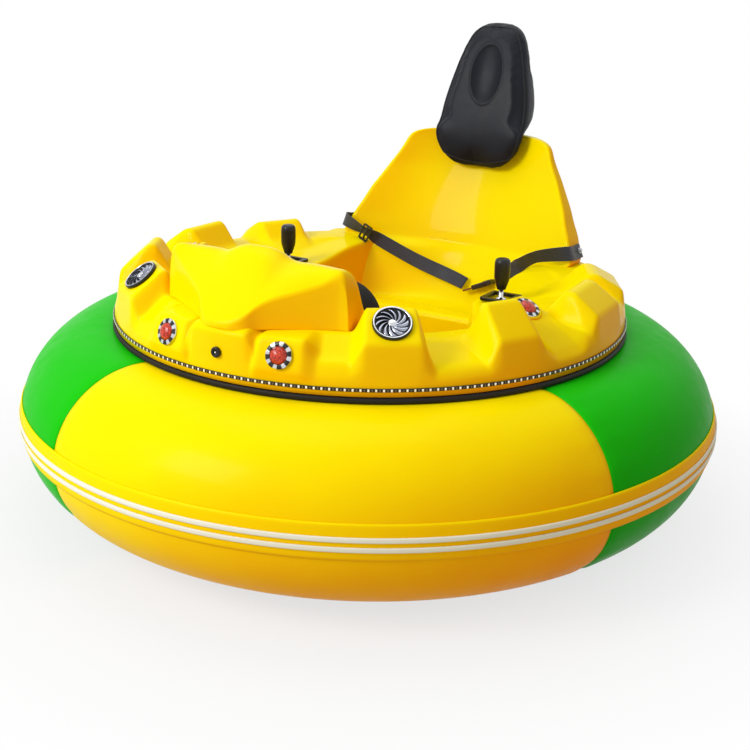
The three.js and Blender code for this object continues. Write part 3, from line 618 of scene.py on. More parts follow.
def openingEdge(turn, grow):
    # radius of the cockpit opening in a direction, with the outline grown outwards
    dx, dy = sin(radians(turn)), -cos(radians(turn))
    halfWidth, front, rear, frontCorner, rearCorner = body["opening"]
    bayRadius, bayFront, bayReach, baySlant = body["bayEdge"]

    def inside(x, y):
        slant = abs(x) * sin(radians(baySlant)) + y * cos(radians(baySlant))
        if hypot(x, y) <= bayRadius + grow and y >= bayFront - grow and slant <= bayReach + grow:
            return True
        corner = (rearCorner if y > 0 else frontCorner) + grow
        overX = max(abs(x) - (halfWidth + grow - corner), 0)
        overY = max(y - (rear + grow - corner), front - grow + corner - y, 0)
        return overX ** 2 + overY ** 2 <= corner ** 2

    low, high = 0.0, 0.9
    for _ in range(22):
        middle = (low + high) / 2
        if inside(dx * middle, dy * middle):
            low = middle
        else:
            high = middle
    return low


def blendedGround(side):
    # the wall's points where no pod stands, from collar to bay to sides
    first, second = (softStep((side - start) / (end - start)) for start, end in body["zones"])
    points = []
    for collar, bay, ground in zip(body["collar"], body["bay"], body["ground"]):
        points.append([(c * (1 - first) + b * first) * (1 - second) + g * second
                       for c, b, g in zip(collar, bay, ground)])
    return points


def bodyLine(turn, edges):
    # the moulding's closed section at an angle: outside, deck, cockpit wall and back inside
    side = abs((turn + 180) % 360 - 180)
    steady, drawnTo = body["steady"], body["drawnTo"]
    weight, kind, flat = podAt(side)
    edge = edges[12](turn)
    last = max(drawnTo, edge + body["deckMargin"])
    line = [(0.692, body["base"]), (0.6918, 0.545)]
    for index, (ground, pod) in enumerate(zip(blendedGround(side), body["pods"][kind])):
        radius = (ground[0] + (pod[0] - ground[0]) * weight) * flat
        height = ground[1] + (pod[1] - ground[1]) * weight
        if index and radius <= steady:
            radius = steady - (steady - radius) * (steady - last) / (steady - drawnTo)
        line.append((radius, height))
    deck = curveAt(body["deck"], side)[0]
    rim = min(edge + body["rimReach"], line[-1][0] - body["rimLeast"])
    line += [(max(rim, edge + body["rimLeast"]), deck), (edge, deck - 0.002), (edges[3](turn), deck - 0.008),
             (edges[0](turn), deck - 0.024)]
    line += [(min(edges[0](turn) + grow, most), height) for grow, most, height in body["well"]]
    inner = []
    for index in body["innerPoints"]:
        before, after = Vector(line[max(index - 1, 0)]), Vector(line[min(index + 1, len(line) - 1)])
        run = (after - before).normalized()
        inner.append((line[index][0] - body["wall"] * run.y, line[index][1] + body["wall"] * run.x))
    inner[0] = (inner[0][0], body["base"])
    inner[-1] = (inner[-1][0], body["floor"])
    outer = roundedLine([(radius, height, 0) for radius, height in line], body["ease"])
    return [(radius, height) for radius, height, _ in outer] + inner[::-1]


def makeBody():
    columns = body["columns"]
    # opening radius by column, its corners eased by a short running mean
    tables = {}
    for grow in (0, 3, 12):
        raw = [openingEdge(360 * k / columns, grow / 1000) for k in range(columns)]
        tables[grow] = [sum(raw[(k + j) % columns] for j in range(-4, 5)) / 9 for k in range(columns)]
    edges = {grow: (lambda turn, table=table: table[round(turn * columns / 360) % columns])
             for grow, table in tables.items()}
    lines = [bodyLine(360 * k / columns, edges) for k in range(columns)]

    def place(row, step):
        radius, height = lines[step][row]
        return polar(radius, 360 * step / columns, height)

    bm = spunSkin(len(lines[0]), columns, place, ring=True)
    carry(finishMesh("bodySkin", bm, [yellowGel]), "body", "body_yellow", "body_shell")


makeBody()
print("moulded body made")

# small-piece helpers
def sweptTube(points, radius, sides=12, closed=False, flat=Vector((0, 1, 0))):
    # a round tube through points, its rings bridged one to the next
    loops = []
    bm = bmesh.new()
    count = len(points)
    for index, point in enumerate(points):
        after = points[(index + 1) % count] if closed or index < count - 1 else point
        before = points[index - 1] if closed or index else point
        along = (after - before).normalized()
        across = along.cross(flat).normalized()
        out = along.cross(across)
        ring = [bm.verts.new(point + radius * (across * cos(2 * pi * k / sides)
                                               + out * sin(2 * pi * k / sides)))
                for k in range(sides)]
        loops.append([bm.edges.new((ring[k], ring[(k + 1) % sides])) for k in range(sides)])
    for first, second in zip(loops, loops[1:] + (loops[:1] if closed else [])):
        bmesh.ops.bridge_loops(bm, edges=first + second)
    if not closed:
        bmesh.ops.holes_fill(bm, edges=[edge for edge in bm.edges if edge.is_boundary], sides=0)
    return bm


def bevelledBox(width, depth, height, corner, edge, steps=4):
    # a plate standing on z = 0 with round upright corners and eased top and bottom edges
    bm = bmesh.new()
    bmesh.ops.create_cube(bm, size=1)
    bm.transform(Matrix.Translation((0, 0, height / 2)) @ Matrix.Diagonal((width, depth, height, 1)))
    upright = [line for line in bm.edges if abs(line.verts[0].co.z - line.verts[1].co.z) > height / 2]
    bmesh.ops.bevel(bm, geom=upright, offset=corner, affect="EDGES", segments=steps + 2, profile=0.5,
                    material=-1)
    rims = [line for line in bm.edges if line.calc_face_angle(0) > 1.2]
    bmesh.ops.bevel(bm, geom=rims, offset=edge, affect="EDGES", segments=steps, profile=0.5, material=-1)
    return bm


def paintFaces(bm, index, test=None):
    # gives a finish to the faces that pass the test
    for face in bm.faces:
        if test is None or test(face):
            face.material_index = index
    return bm


# front cowl
cowl = {
    "halfWidth": 0.262, "stations": 124, "foot": 0.6455, "crest": -0.528,
    # distance from the middle, front edge y and z, crest z, rear top y and z
    "rows": [
        [0, -0.688, 0.660, 0.820, -0.470, 0.785], [0.034, -0.684, 0.664, 0.818, -0.470, 0.783],
        [0.062, -0.669, 0.680, 0.809, -0.470, 0.776], [0.082, -0.648, 0.701, 0.797, -0.470, 0.770],
        [0.105, -0.630, 0.716, 0.789, -0.470, 0.772], [0.145, -0.603, 0.730, 0.789, -0.471, 0.775],
        [0.197, -0.570, 0.749, 0.787, -0.474, 0.775], [0.236, -0.547, 0.767, 0.785, -0.481, 0.772],
        [0.251, -0.541, 0.754, 0.768, -0.484, 0.758], [0.258, -0.539, 0.722, 0.732, -0.487, 0.726],
        [0.262, -0.538, 0.672, 0.676, -0.490, 0.670],
    ],
    "frontEase": 0.010, "crestEase": 0.045, "backEase": 0.030, "footEase": 0.004,
}


def cowlSection(x):
    # front face, top and rear face, with the rear lip turned in under it
    frontY, frontZ, crest, rearY, rearZ = curveAt(cowl["rows"], abs(x))
    foot = -0.430 - 0.024 * softStep(abs(x) / cowl["halfWidth"])
    rise = 0.6 * max(abs(x) - 0.215, 0)
    low = cowl["foot"]
    middleY, middleZ = (frontY + cowl["crest"]) / 2, (frontZ + crest) / 2 + 0.004
    corners = [(frontY, low), (frontY + 0.001, frontZ), (middleY, middleZ), (cowl["crest"], crest),
               (rearY, rearZ), (foot, 0.636 + rise), (foot, 0.609 + rise), (foot - 0.040, 0.6225 + rise),
               (foot - 0.058, 0.634 + rise / 2), (-0.522, low)]
    ease = cowl["footEase"]
    radii = [ease, cowl["frontEase"], 0.03, cowl["crestEase"], cowl["backEase"], ease, ease, 0.002, 0.003,
             ease]
    line = roundedLine([(0, y, z) for y, z in corners], radii, closed=True, steps=8)
    return [(x, y, z) for _, y, z in line]


def makeCowl():
    stations = cowl["stations"]
    sections = []
    for i in range(stations + 1):
        share = -1 + 2 * i / stations
        sections.append(cowlSection(cowl["halfWidth"] * sin(share * pi / 2)))
    bm = spunSkin(stations + 1, len(sections[0]), lambda row, step: sections[row][step])
    carry(finishMesh("frontCowl", bm, [yellowGel]), "body", "body_yellow", "front_cowl")


makeCowl()

# seat: pan and back in one moulding
seat = {
    "corner": 0.016, "across": 40,
    # half width; front y on the middle line and at the edge, z; rear y likewise, z
    "rows": [
        (0.300, 0.301, 0.301, 0.148, 0.307, 0.307, 0.148), (0.318, 0.301, 0.301, 0.300, 0.307, 0.307, 0.300),
        (0.326, 0.301, 0.301, 0.425, 0.307, 0.307, 0.423),
        (0.336, 0.3025, 0.3025, 0.438, 0.3085, 0.3085, 0.434),
        (0.345, 0.307, 0.307, 0.4465, 0.311, 0.311, 0.441), (0.343, 0.315, 0.315, 0.450, 0.315, 0.315, 0.444),
        (0.330, 0.345, 0.342, 0.449, 0.345, 0.342, 0.443),
        (0.316, 0.378, 0.354, 0.4455, 0.378, 0.354, 0.4395),
        (0.304, 0.412, 0.364, 0.441, 0.412, 0.364, 0.435),
        (0.296, 0.440, 0.371, 0.4405, 0.442, 0.371, 0.4345),
        (0.290, 0.460, 0.377, 0.4435, 0.464, 0.380, 0.438), (0.286, 0.478, 0.384, 0.456, 0.484, 0.390, 0.450),
        (0.286, 0.495, 0.392, 0.478, 0.501, 0.398, 0.474), (0.290, 0.512, 0.402, 0.508, 0.519, 0.409, 0.506),
        (0.300, 0.534, 0.418, 0.546, 0.545, 0.430, 0.545), (0.320, 0.553, 0.438, 0.582, 0.600, 0.470, 0.582),
        (0.372, 0.566, 0.464, 0.602, 0.680, 0.552, 0.602), (0.388, 0.570, 0.470, 0.614, 0.684, 0.560, 0.610),
        (0.379, 0.578, 0.481, 0.640, 0.687, 0.571, 0.640), (0.365, 0.591, 0.498, 0.675, 0.692, 0.585, 0.675),
        (0.346, 0.607, 0.515, 0.712, 0.698, 0.594, 0.712), (0.330, 0.623, 0.533, 0.748, 0.704, 0.602, 0.748),
        (0.308, 0.640, 0.554, 0.786, 0.711, 0.614, 0.786), (0.286, 0.656, 0.575, 0.824, 0.718, 0.625, 0.824),
        (0.266, 0.668, 0.588, 0.856, 0.724, 0.634, 0.856), (0.2515, 0.677, 0.598, 0.882, 0.728, 0.640, 0.882),
        (0.242, 0.684, 0.607, 0.904, 0.730, 0.645, 0.903), (0.231, 0.689, 0.615, 0.919, 0.731, 0.651, 0.917),
        (0.212, 0.693, 0.627, 0.9285, 0.730, 0.660, 0.9265),
        (0.186, 0.697, 0.644, 0.9335, 0.728, 0.674, 0.932),
        (0.150, 0.701, 0.664, 0.9355, 0.726, 0.690, 0.9345),
    ],
    "between": 4,
}


def seatRing(row):
    # one closed level of the moulding
    width, frontY, frontEdge, frontZ, rearY, rearEdge, rearZ = row
    thick = max(rearY - frontY, frontZ - rearZ, 0.004)
    corner = min(seat["corner"], thick * 0.48)
    flat = width - corner
    half = seat["across"] // 2
    front = [(flat * k / half, 0.0) for k in range(-half, half + 1)]
    bend = [(flat + corner * sin(radians(turn)), corner * (1 - cos(radians(turn))) / thick)
            for turn in range(15, 91, 15)]
    side = bend + [(x, 1 - share) for x, share in reversed(bend)]
    rear = [(-x, 1.0) for x, _ in front]
    loop = front + side + rear + [(-x, share) for x, share in reversed(side)]
    points = []
    for x, share in loop:
        bow = (x / width) ** 2
        near, far = frontY - (frontY - frontEdge) * bow, rearY - (rearY - rearEdge) * bow
        points.append((x, near + (far - near) * share, frontZ + (rearZ - frontZ) * share))
    return points


def makeSeat():
    keyed = [[index, *row] for index, row in enumerate(seat["rows"])]
    count = (len(keyed) - 1) * seat["between"]
    rings = [seatRing(curveAt(keyed, index / seat["between"])) for index in range(count + 1)]
    bm = spunSkin(count + 1, len(rings[0]), lambda row, step: rings[row][step])
    carry(finishMesh("seatMoulding", bm, [yellowGel]), "body", "body_yellow", "seat_base", "seat_back")


makeSeat()
print("cowl and seat made")

# headrest: stuffed vinyl pad with an oval dish and piping
headrest = {
    # height, half width, front y, rear y
    "rows": [
        [0.832, 0.052, 0.630, 0.640], [0.838, 0.078, 0.626, 0.643], [0.854, 0.106, 0.621, 0.647],
        [0.880, 0.131, 0.618, 0.656], [0.913, 0.146, 0.618, 0.664], [0.943, 0.151, 0.621, 0.684],
        [0.978, 0.150, 0.628, 0.745], [1.018, 0.147, 0.639, 0.764], [1.058, 0.140, 0.650, 0.770],
        [1.108, 0.128, 0.663, 0.773], [1.158, 0.114, 0.678, 0.773], [1.203, 0.097, 0.695, 0.776],
        [1.232, 0.079, 0.708, 0.775], [1.248, 0.058, 0.719, 0.771], [1.256, 0.038, 0.727, 0.765],
    ],
    "bow": 1.1, "squareness": 0.7, "around": 64, "levels": 60,
    "voxel": 0.005, "pressure": 4.0, "cap": 0.006,
    "dishPlace": 1.113, "dishSize": (0.050, 0.084), "dishDepth": 0.015, "dishLip": 0.0018,
    "pipingInset": 0.013, "pipingSize": 0.0019, "pipingEnds": (0.870, 1.244), "pipingSag": 0.022,
    "pipingCrown": 1.2445, "pipingArch": 0.003, "pipingLeast": 0.012,
}


def headrestShape():
    # squarish rounded levels, bowed forwards at the sides
    rows, around = headrest["rows"], headrest["around"]
    low, high = rows[0][0], rows[-1][0]

    def squared(part):
        return copysign(abs(part) ** headrest["squareness"], part)

    rings = []
    for level in range(headrest["levels"] + 1):
        height = low + (high - low) * level / headrest["levels"]
        width, front, rear = curveAt(rows, height)
        ring = []
        for k in range(around):
            turn = 2 * pi * (k + 0.5) / around
            x, lean = width * squared(cos(turn)), squared(sin(turn))
            ring.append((x, (front + rear) / 2 + (rear - front) / 2 * lean - headrest["bow"] * x * x, height))
        rings.append(ring)
    return spunSkin(len(rings), around, lambda row, step: rings[row][step])


def puffUp(piece, pressure, cap, voxel):
    # voxel remesh, then inflation as cloth with the movement held to a cap
    bpy.context.view_layer.objects.active = piece
    remesh = piece.modifiers.new("remesh", "REMESH")
    remesh.mode = "VOXEL"
    remesh.voxel_size = voxel
    bpy.ops.object.modifier_apply(modifier="remesh")
    before = [vert.co.copy() for vert in piece.data.vertices]
    cloth = piece.modifiers.new("cloth", "CLOTH")
    cloth.settings.effector_weights.gravity = 0
    cloth.settings.use_pressure = True
    cloth.settings.uniform_pressure_force = pressure
    cloth.settings.tension_stiffness = 20
    for number in range(1, 21):
        scene.frame_set(number)
    moved = piece.evaluated_get(bpy.context.evaluated_depsgraph_get()).to_mesh()
    after = [vert.co.copy() for vert in moved.vertices]
    piece.modifiers.remove(cloth)
    scene.frame_set(1)
    for vert, start, end in zip(piece.data.vertices, before, after):
        step = end - start
        vert.co = start + step * min(1.0, cap / max(step.length, 1e-9))


def makeHeadrest():
    piece = finishMesh("headrestPad", headrestShape(), [vinylBlack])
    puffUp(piece, headrest["pressure"], headrest["cap"], headrest["voxel"])
    width, height = headrest["dishSize"]
    bm = bmesh.new()
    bm.from_mesh(piece.data)
    bmesh.ops.smooth_vert(bm, verts=bm.verts, factor=0.5, use_axis_x=True, use_axis_y=True, use_axis_z=True)
    bmesh.ops.subdivide_edges(bm, edges=bm.edges, cuts=1, use_grid_fill=True, smooth=0)
    for vert in bm.verts:
        # one at the dish's edge
        spread = hypot(vert.co.x / width, (vert.co.z - headrest["dishPlace"]) / height)
        if vert.normal.y < 0 and spread < 1.25:
            bowl = headrest["dishDepth"] * max(1 - spread ** 2.4, 0)
            lip = headrest["dishLip"] * exp(-((spread - 1.05) / 0.06) ** 2)
            vert.co.y += bowl - lip
    bm.to_mesh(piece.data)
    bm.free()
    piece.data.polygons.foreach_set("use_smooth", [True] * len(piece.data.polygons))
    carry(piece, "body", "vinyl_black", "headrest")
    makePiping(piece)


def makePiping(pad):
    # piping laid on the pad's front, a little inside its outline
    tree = BVHTree.FromObject(pad, bpy.context.evaluated_depsgraph_get())
    low, high = headrest["pipingEnds"]
    heights = [low + (high - low) * k / 70 for k in range(71)]
    side = [(max(curveAt(headrest["rows"], height)[0] - headrest["pipingInset"], headrest["pipingLeast"]),
             height)
            for height in heights]
    crown = [(side[-1][0] * k / 6, headrest["pipingCrown"] + headrest["pipingArch"] * (1 - (k / 6) ** 2))
             for k in range(-5, 6)]
    sag = [(side[0][0] * (1 - k / 9), low - headrest["pipingSag"] * sin(pi * k / 18)) for k in range(1, 18)]
    path = [(-x, z) for x, z in side] + crown + side[::-1] + sag
    points = []
    for x, z in path:
        spot = tree.ray_cast(Vector((x, 0.3, z)), Vector((0, 1, 0)))[0]
        if spot:
            points.append(spot + Vector((0, -headrest["pipingSize"] * 0.35, 0)))
    bm = sweptTube(points, headrest["pipingSize"], 10, closed=True)
    carry(finishMesh("headrestPiping", bm, [pipingBlack]), "body", "vinyl_black")


makeHeadrest()
print("headrest made")

# lamps and socket
lamps = {
    "vanes": 12, "vaneSwirl": 52, "vaneSpan": 21, "vaneFrom": 0.0098, "vaneTo": 0.0388,
    "vaneFoot": 0.0034, "vaneRise": 0.0036, "vaneCrown": 0.0010, "vaneThick": 0.0008, "brightRim": 0.0088,
    "rim": [(0.0, 0.0), (0.0465, 0.0), (0.0465, 0.0055), (0.0459, 0.0078), (0.0445, 0.0092), (0.0428, 0.0094),
            (0.0412, 0.0086), (0.0402, 0.0066), (0.0398, 0.0030), (0.0380, 0.0024), (0.0, 0.0024)],
    "hub": [(0.0, 0.0022), (0.0105, 0.0022), (0.0105, 0.0050), (0.0096, 0.0064), (0.0070, 0.0072),
            (0.0, 0.0074)],
    "collar": [(0.0210, 0.0010), (0.0325, 0.0), (0.0325, 0.0038), (0.0318, 0.0056), (0.0300, 0.0068),
               (0.0250, 0.0078), (0.0218, 0.0076), (0.0210, 0.0060), (0.0210, 0.0010)],
    "checks": 8, "checkShare": 0.56, "checkReach": 0.0316, "checkFoot": 0.005,
    "dome": [(0.0, 0.0012), (0.0208, 0.0012), (0.0208, 0.0076), (0.0186, 0.0112), (0.0146, 0.0140),
             (0.0090, 0.0161), (0.0, 0.0170)],
    "domeFacets": 16,
    "boss": [(0.0326, -0.004), (0.0400, -0.004), (0.0392, 0.0016), (0.0376, 0.0036), (0.0352, 0.0044),
             (0.0334, 0.0038), (0.0326, 0.0020), (0.0326, -0.004)],
    # pod, the point of its line that the face starts at, and the share of the way up the face
    "places": {"fan": ("fan", 1, 0.57), "redFront": ("lamp", 1, 0.02), "redSide": ("side", 2, 0.56)},
    "lift": 0.0006,
}


def lampPlace(sort, sign):
    # the same flat of the pod that the lamp stands on in the frame
    kind, corner, share = lamps["places"][sort]
    start, end = next((low, high) for name, low, high in body["stands"] if name == kind)
    (lowRadius, lowHeight), (highRadius, highHeight) = body["pods"][kind][corner:corner + 2]
    flat = cos(radians((end - start) / 2))
    tilt = atan2((lowRadius - highRadius) * flat, highHeight - lowHeight)
    radius = (lowRadius + (highRadius - lowRadius) * share) * flat + lamps["lift"] * cos(tilt)
    height = lowHeight + (highHeight - lowHeight) * share + lamps["lift"] * sin(tilt)
    turn = sign * (start + end) / 2
    return stand(polar(radius, turn, height), turn, degrees(tilt))


def fanLamp():
    # dark rim with a bright edge, bright hub, swirled vanes
    rim = paintFaces(turnedPiece(lamps["rim"], 64), 0)
    rim = paintFaces(rim, 1, lambda face: face.calc_center_median().z > lamps["brightRim"])
    parts = [rim, paintFaces(turnedPiece(lamps["hub"], 32), 1)]
    for index in range(lamps["vanes"]):
        vane = bmesh.new()
        bmesh.ops.create_grid(vane, x_segments=8, y_segments=2, size=0.5)
        for vert in vane.verts:
            share, side = vert.co.x + 0.5, vert.co.y + 0.5
            radius = lamps["vaneFrom"] + (lamps["vaneTo"] - lamps["vaneFrom"]) * share
            turn = radians(360 / lamps["vanes"] * index + lamps["vaneSwirl"] * share ** 0.8
                           + lamps["vaneSpan"] * side)
            lift = lamps["vaneFoot"] + lamps["vaneRise"] * side + lamps["vaneCrown"] * sin(pi * share)
            vert.co = (radius * cos(turn), radius * sin(turn), lift)
        bmesh.ops.solidify(vane, geom=vane.faces[:] + vane.edges[:] + vane.verts[:],
                           thickness=lamps["vaneThick"])
        parts.append(paintFaces(vane, 2))
    return joinMeshes(*parts)


def redLamp():
    # checked ring round a faceted dome
    collar = turnedPiece(lamps["collar"], lamps["checks"] * 9)
    sector = 360 / lamps["checks"]

    def checked(face):
        spot = face.calc_center_median()
        turn = degrees(atan2(spot.y, spot.x)) % 360
        onRing = hypot(spot.x, spot.y) < lamps["checkReach"] and spot.z > lamps["checkFoot"]
        return onRing and turn % sector < sector * lamps["checkShare"]

    paintFaces(collar, 1, checked)
    dome = turnedPiece(lamps["dome"], lamps["domeFacets"])
    for face in dome.faces:
        face.smooth = False
    return joinMeshes(collar, paintFaces(dome, 2))


def lampFinishes():
    vane = metalFinish("silverVane", colour(168, 172, 186), 0.2)
    lens = Finish("redLens", BaseColor=colour(210, 44, 14), Roughness=0.16, CoatWeight=0.4,
                  CoatRoughness=0.04,
                  SpecularIORLevel=0.3, EmissionStrength=0.10)
    cells = lens.node("TexVoronoi", {"feature": "F1"}, {"Vector": lens.place(), "Scale": 190.0})
    depth = lens.spread(cells, 0, 1, 0.1, 0.75)
    lens.feed("Base Color", lens.blend(depth, colour(222, 62, 18), colour(140, 20, 8)))
    lens.feed("Emission Color", lens.blend(depth, colour(255, 84, 34), colour(150, 16, 8)))
    lens.bump(cells, 0.6, 0.0012)
    return vane, lens.material


silverVane, redLens = lampFinishes()
for side, sign in (("left", 1), ("right", -1)):
    fan = fanLamp()
    fan.transform(lampPlace("fan", sign))
    carry(finishMesh(f"fanLamp_{side}", fan, [controlBlack, chrome, silverVane], weld=0.00001), "body",
          "fan_lamp",
          f"fan_lamp_{side}")
    for where in ("front", "side"):
        red = redLamp()
        if where == "side":
            red = joinMeshes(red, paintFaces(turnedPiece(lamps["boss"], 72), 3))
        red.transform(lampPlace(f"red{where.title()}", sign))
        piece = finishMesh(f"redLamp_{where}_{side}", red, [chrome, controlBlack, redLens, yellowGel],
                           smooth=False, weld=0.00001)
        carry(piece, "body", "red_lamp", f"red_lamp_{where}_{side}")

socket = {
    "place": (0, -0.6909, 0.590),
    "shell": [(0.0, 0.0), (0.013, 0.0), (0.013, 0.0055), (0.0124, 0.0070), (0.0112, 0.0078), (0.0085, 0.0080),
              (0.0070, 0.0074), (0.0064, 0.0050), (0.0060, 0.0030), (0.0, 0.0030)],
    "pin": [(0.0, 0.0028), (0.0022, 0.0028), (0.0022, 0.0066), (0.0014, 0.0074), (0.0, 0.0076)],
}
shell = joinMeshes(turnedPiece(socket["shell"], 40), paintFaces(turnedPiece(socket["pin"], 16), 1))
shell.transform(stand(socket["place"], 0, 0))
carry(finishMesh("chargingSocket", shell, [controlBlack, chrome], weld=0.00001), "body", "socket_black",
      "charging_socket")
print("lamps and socket made")

# hand levers
lever = {
    "place": (0.345, 0.104, 0.5896), "plate": 0.088, "plateTall": 0.009, "corner": 0.008, "edge": 0.0016,
    "hole": 0.062, "gripFoot": 0.617,
    "stem": [(0.0, 0.0), (0.015, 0.0), (0.015, 0.0025), (0.0135, 0.0035), (0.0075, 0.0060), (0.0060, 0.0080),
             (0.0060, 0.0271), (0.0, 0.0271)],
    "grip": [(0.0, 0.0), (0.0108, 0.0), (0.0120, 0.0012), (0.0134, 0.0060), (0.0160, 0.0140),
             (0.0186, 0.0220),
             (0.0203, 0.0290), (0.0211, 0.0360), (0.0214, 0.0480), (0.0215, 0.0640), (0.0213, 0.0710),
             (0.0206, 0.0765), (0.0192, 0.0805), (0.0168, 0.0834), (0.0132, 0.0849), (0.0080, 0.0854),
             (0.0, 0.0855)],
}


def makeLever(side, sign):
    # plate with a hole through it, stem in the hole, grip on the stem
    x, y, z = lever["place"]
    here = Matrix.Translation((sign * x, y, z))
    plate = bevelledBox(lever["plate"], lever["plate"], lever["plateTall"], lever["corner"], lever["edge"])
    faces = sorted(plate.faces, key=lambda face: -face.calc_area())[:2]
    border = (lever["plate"] - lever["hole"]) / 2 - lever["edge"]
    bmesh.ops.inset_individual(plate, faces=faces, thickness=border)
    rims = [list(face.edges) for face in faces]
    bmesh.ops.delete(plate, geom=faces, context="FACES_ONLY")
    bmesh.ops.bridge_loops(plate, edges=rims[0] + rims[1])
    plate.transform(here)
    carry(finishMesh(f"leverPlate_{side}", plate, [controlBlack], smooth=False), "body", "control_black",
          f"joystick_bezel_{side}")
    stem = turnedPiece(lever["stem"], 32, here)
    carry(finishMesh(f"leverStem_{side}", stem, [chrome]), "body", "steel", f"joystick_stem_{side}")
    grip = turnedPiece(lever["grip"], 48, Matrix.Translation((sign * x, y, lever["gripFoot"])))
    carry(finishMesh(f"leverGrip_{side}", grip, [controlBlack]), "body", "control_black",
          f"joystick_grip_{side}")


makeLever("left", 1)
makeLever("right", -1)
print("hand levers made")

# hand ring on its arm
handRing = {
    "place": (0, -0.116, 0.540), "tilt": 5, "ring": 0.072, "tube": 0.0285, "seam": 0.0012,
    "arm": [(0, -0.383, 0.402), (0, -0.330, 0.400), (0, -0.250, 0.404), (0, -0.185, 0.422),
            (0, -0.140, 0.447)],
    "armRadius": 0.0148, "around": 40, "steps": 96,
}


def makeHandRing():
    # foam ring with a fine moulding seam round its inside, on a bent arm
    around, steps = handRing["around"], handRing["steps"]
    place = Matrix.Translation(handRing["place"]) @ Matrix.Rotation(radians(handRing["tilt"] - 90), 4, "X")

    def spot(row, step):
        turn = 2 * pi * row / around
        thick = handRing["tube"] - handRing["seam"] * exp(-((turn - pi) / 0.09) ** 2)
        radius = handRing["ring"] + thick * cos(turn)
        angle = 2 * pi * step / steps
        return place @ Vector((radius * cos(angle), radius * sin(angle), thick * sin(turn)))

    ring = spunSkin(around, steps, spot, ring=True)
    carry(finishMesh("handRing", ring, [foamBlack]), "body", "foam_black", "hand_ring")
    keyed = [[index, *point] for index, point in enumerate(handRing["arm"])]
    path = [Vector(curveAt(keyed, index / 8)) for index in range(8 * (len(keyed) - 1) + 1)]
    arm = sweptTube(path, handRing["armRadius"], 24, flat=Vector((1, 0, 0)))
    carry(finishMesh("handRingArm", arm, [controlBlack]), "body", "foam_black", "hand_ring_arm")


makeHandRing()
print("hand ring made")

# lap belt
belt = {
    "width": 0.042, "thick": 0.0024,
    # place, then the direction across the strap
    "left": [(0.384, 0.556, 0.641, -0.39, 0, 0.92), (0.384, 0.515, 0.641, -0.39, 0, 0.92),
             (0.380, 0.472, 0.646, -0.3, 0.05, 0.95), (0.335, 0.446, 0.641, 0, -0.2, 0.95),
             (0.285, 0.447, 0.626, 0.1, -0.5, 0.85), (0.242, 0.456, 0.600, 0.45, -0.4, 0.8),
             (0.203, 0.470, 0.570, 0.5, -0.1, 0.85), (0.156, 0.478, 0.540, 0.45, 0.15, 0.85)],
    "right": [(-0.384, 0.548, 0.646, 0.39, 0, 0.92), (-0.384, 0.510, 0.646, 0.39, 0, 0.92),
              (-0.380, 0.470, 0.652, 0.3, 0.05, 0.95), (-0.335, 0.446, 0.644, 0, -0.2, 0.95),
              (-0.290, 0.446, 0.628, 0, -0.6, 0.8), (-0.240, 0.460, 0.602, -0.2, 0, 1),
              (-0.160, 0.466, 0.570, -0.3, 0.1, 1), (-0.090, 0.470, 0.546, -0.3, 0.2, 0.95),
              (0, 0.478, 0.519, -0.2, 0.45, 0.85), (0.046, 0.482, 0.503, -0.2, 0.6, 0.75)],
    "bolt": (0.3864, 0.540, 0.643), "boltLift": 0.004, "boltTilt": 67,
    "buckle": (0.115, 0.474, 0.505), "buckleTurn": (-6, -24),
    # width, depth, height, corner and edge of each plate, and where it stands in the buckle
    "case": (0.066, 0.042, 0.015, 0.006, 0.0030),
    "button": (0.020, 0.030, 0.0018, 0.003, 0.0006), "buttonPlace": (0.016, 0, 0.0146),
    "tongue": (0.044, 0.030, 0.005, 0.006, 0.0012), "tonguePlace": (-0.046, 0, 0.005),
    "washer": [(0.0, 0.0), (0.009, 0.0), (0.009, 0.0016), (0.0082, 0.0022), (0.0, 0.0022)],
    "headRadius": 0.006, "headTall": 0.0045,
}


def webbingFinish():
    # woven strap: ribs along it and fine picks across it
    made = Finish("wovenWebbing", BaseColor=colour(30, 31, 42), Roughness=0.62, SheenWeight=0.25,
                  SheenRoughness=0.4)
    along = made.node("Attribute", {"attribute_name": "along"}, output=2)
    around = made.node("Attribute", {"attribute_name": "around"}, output=2)
    picks = made.node("Math", {"operation": "SINE"}, {0: along * 9.5})
    ribs = made.node("Math", {"operation": "SINE"}, {0: around * 2.2})
    weave = picks * 0.5 + ribs * 0.5
    fade = made.noise(26, 4, 0.6)
    worn = made.spread(weave + fade * 1.2, 0, 1, -0.4, 1.4)
    made.feed("Base Color", made.blend(worn, colour(20, 21, 30), colour(44, 46, 60)))
    made.feed("Roughness", made.spread(fade, 0.5, 0.75))
    made.bump(weave, 0.5, 0.0006)
    return made.material


def makeStrap(name, stations, finish, node):
    # section runs round the strap; rows run along it
    keyed = [[index, *station] for index, station in enumerate(stations)]
    fine = 10
    count = (len(keyed) - 1) * fine
    half, thin, selvage = belt["width"] / 2, belt["thick"] / 2, 0.0008
    section = [((half - selvage) * (k / 10 - 1), -thin) for k in range(21)]
    section += [(half, 0)] + [(x, thin) for x, _ in reversed(section)] + [(-half, 0)]
    rings = []
    for index in range(count + 1):
        here = curveAt(keyed, index / fine)
        before, after = curveAt(keyed, max(index - 1, 0) / fine), curveAt(keyed, min(index + 1, count) / fine)
        along = (Vector(after[:3]) - Vector(before[:3])).normalized()
        across = Vector(here[3:])
        across = (across - along * across.dot(along)).normalized()
        out = along.cross(across)
        rings.append([Vector(here[:3]) + across * u + out * v * (1.12 if abs(u) > half * 0.9 else 1)
                      for u, v in section])
    bm = spunSkin(count + 1, len(section), lambda row, step: rings[row][step], marks=True)
    carry(finishMesh(name, bm, [finish]), "body", "webbing", node)


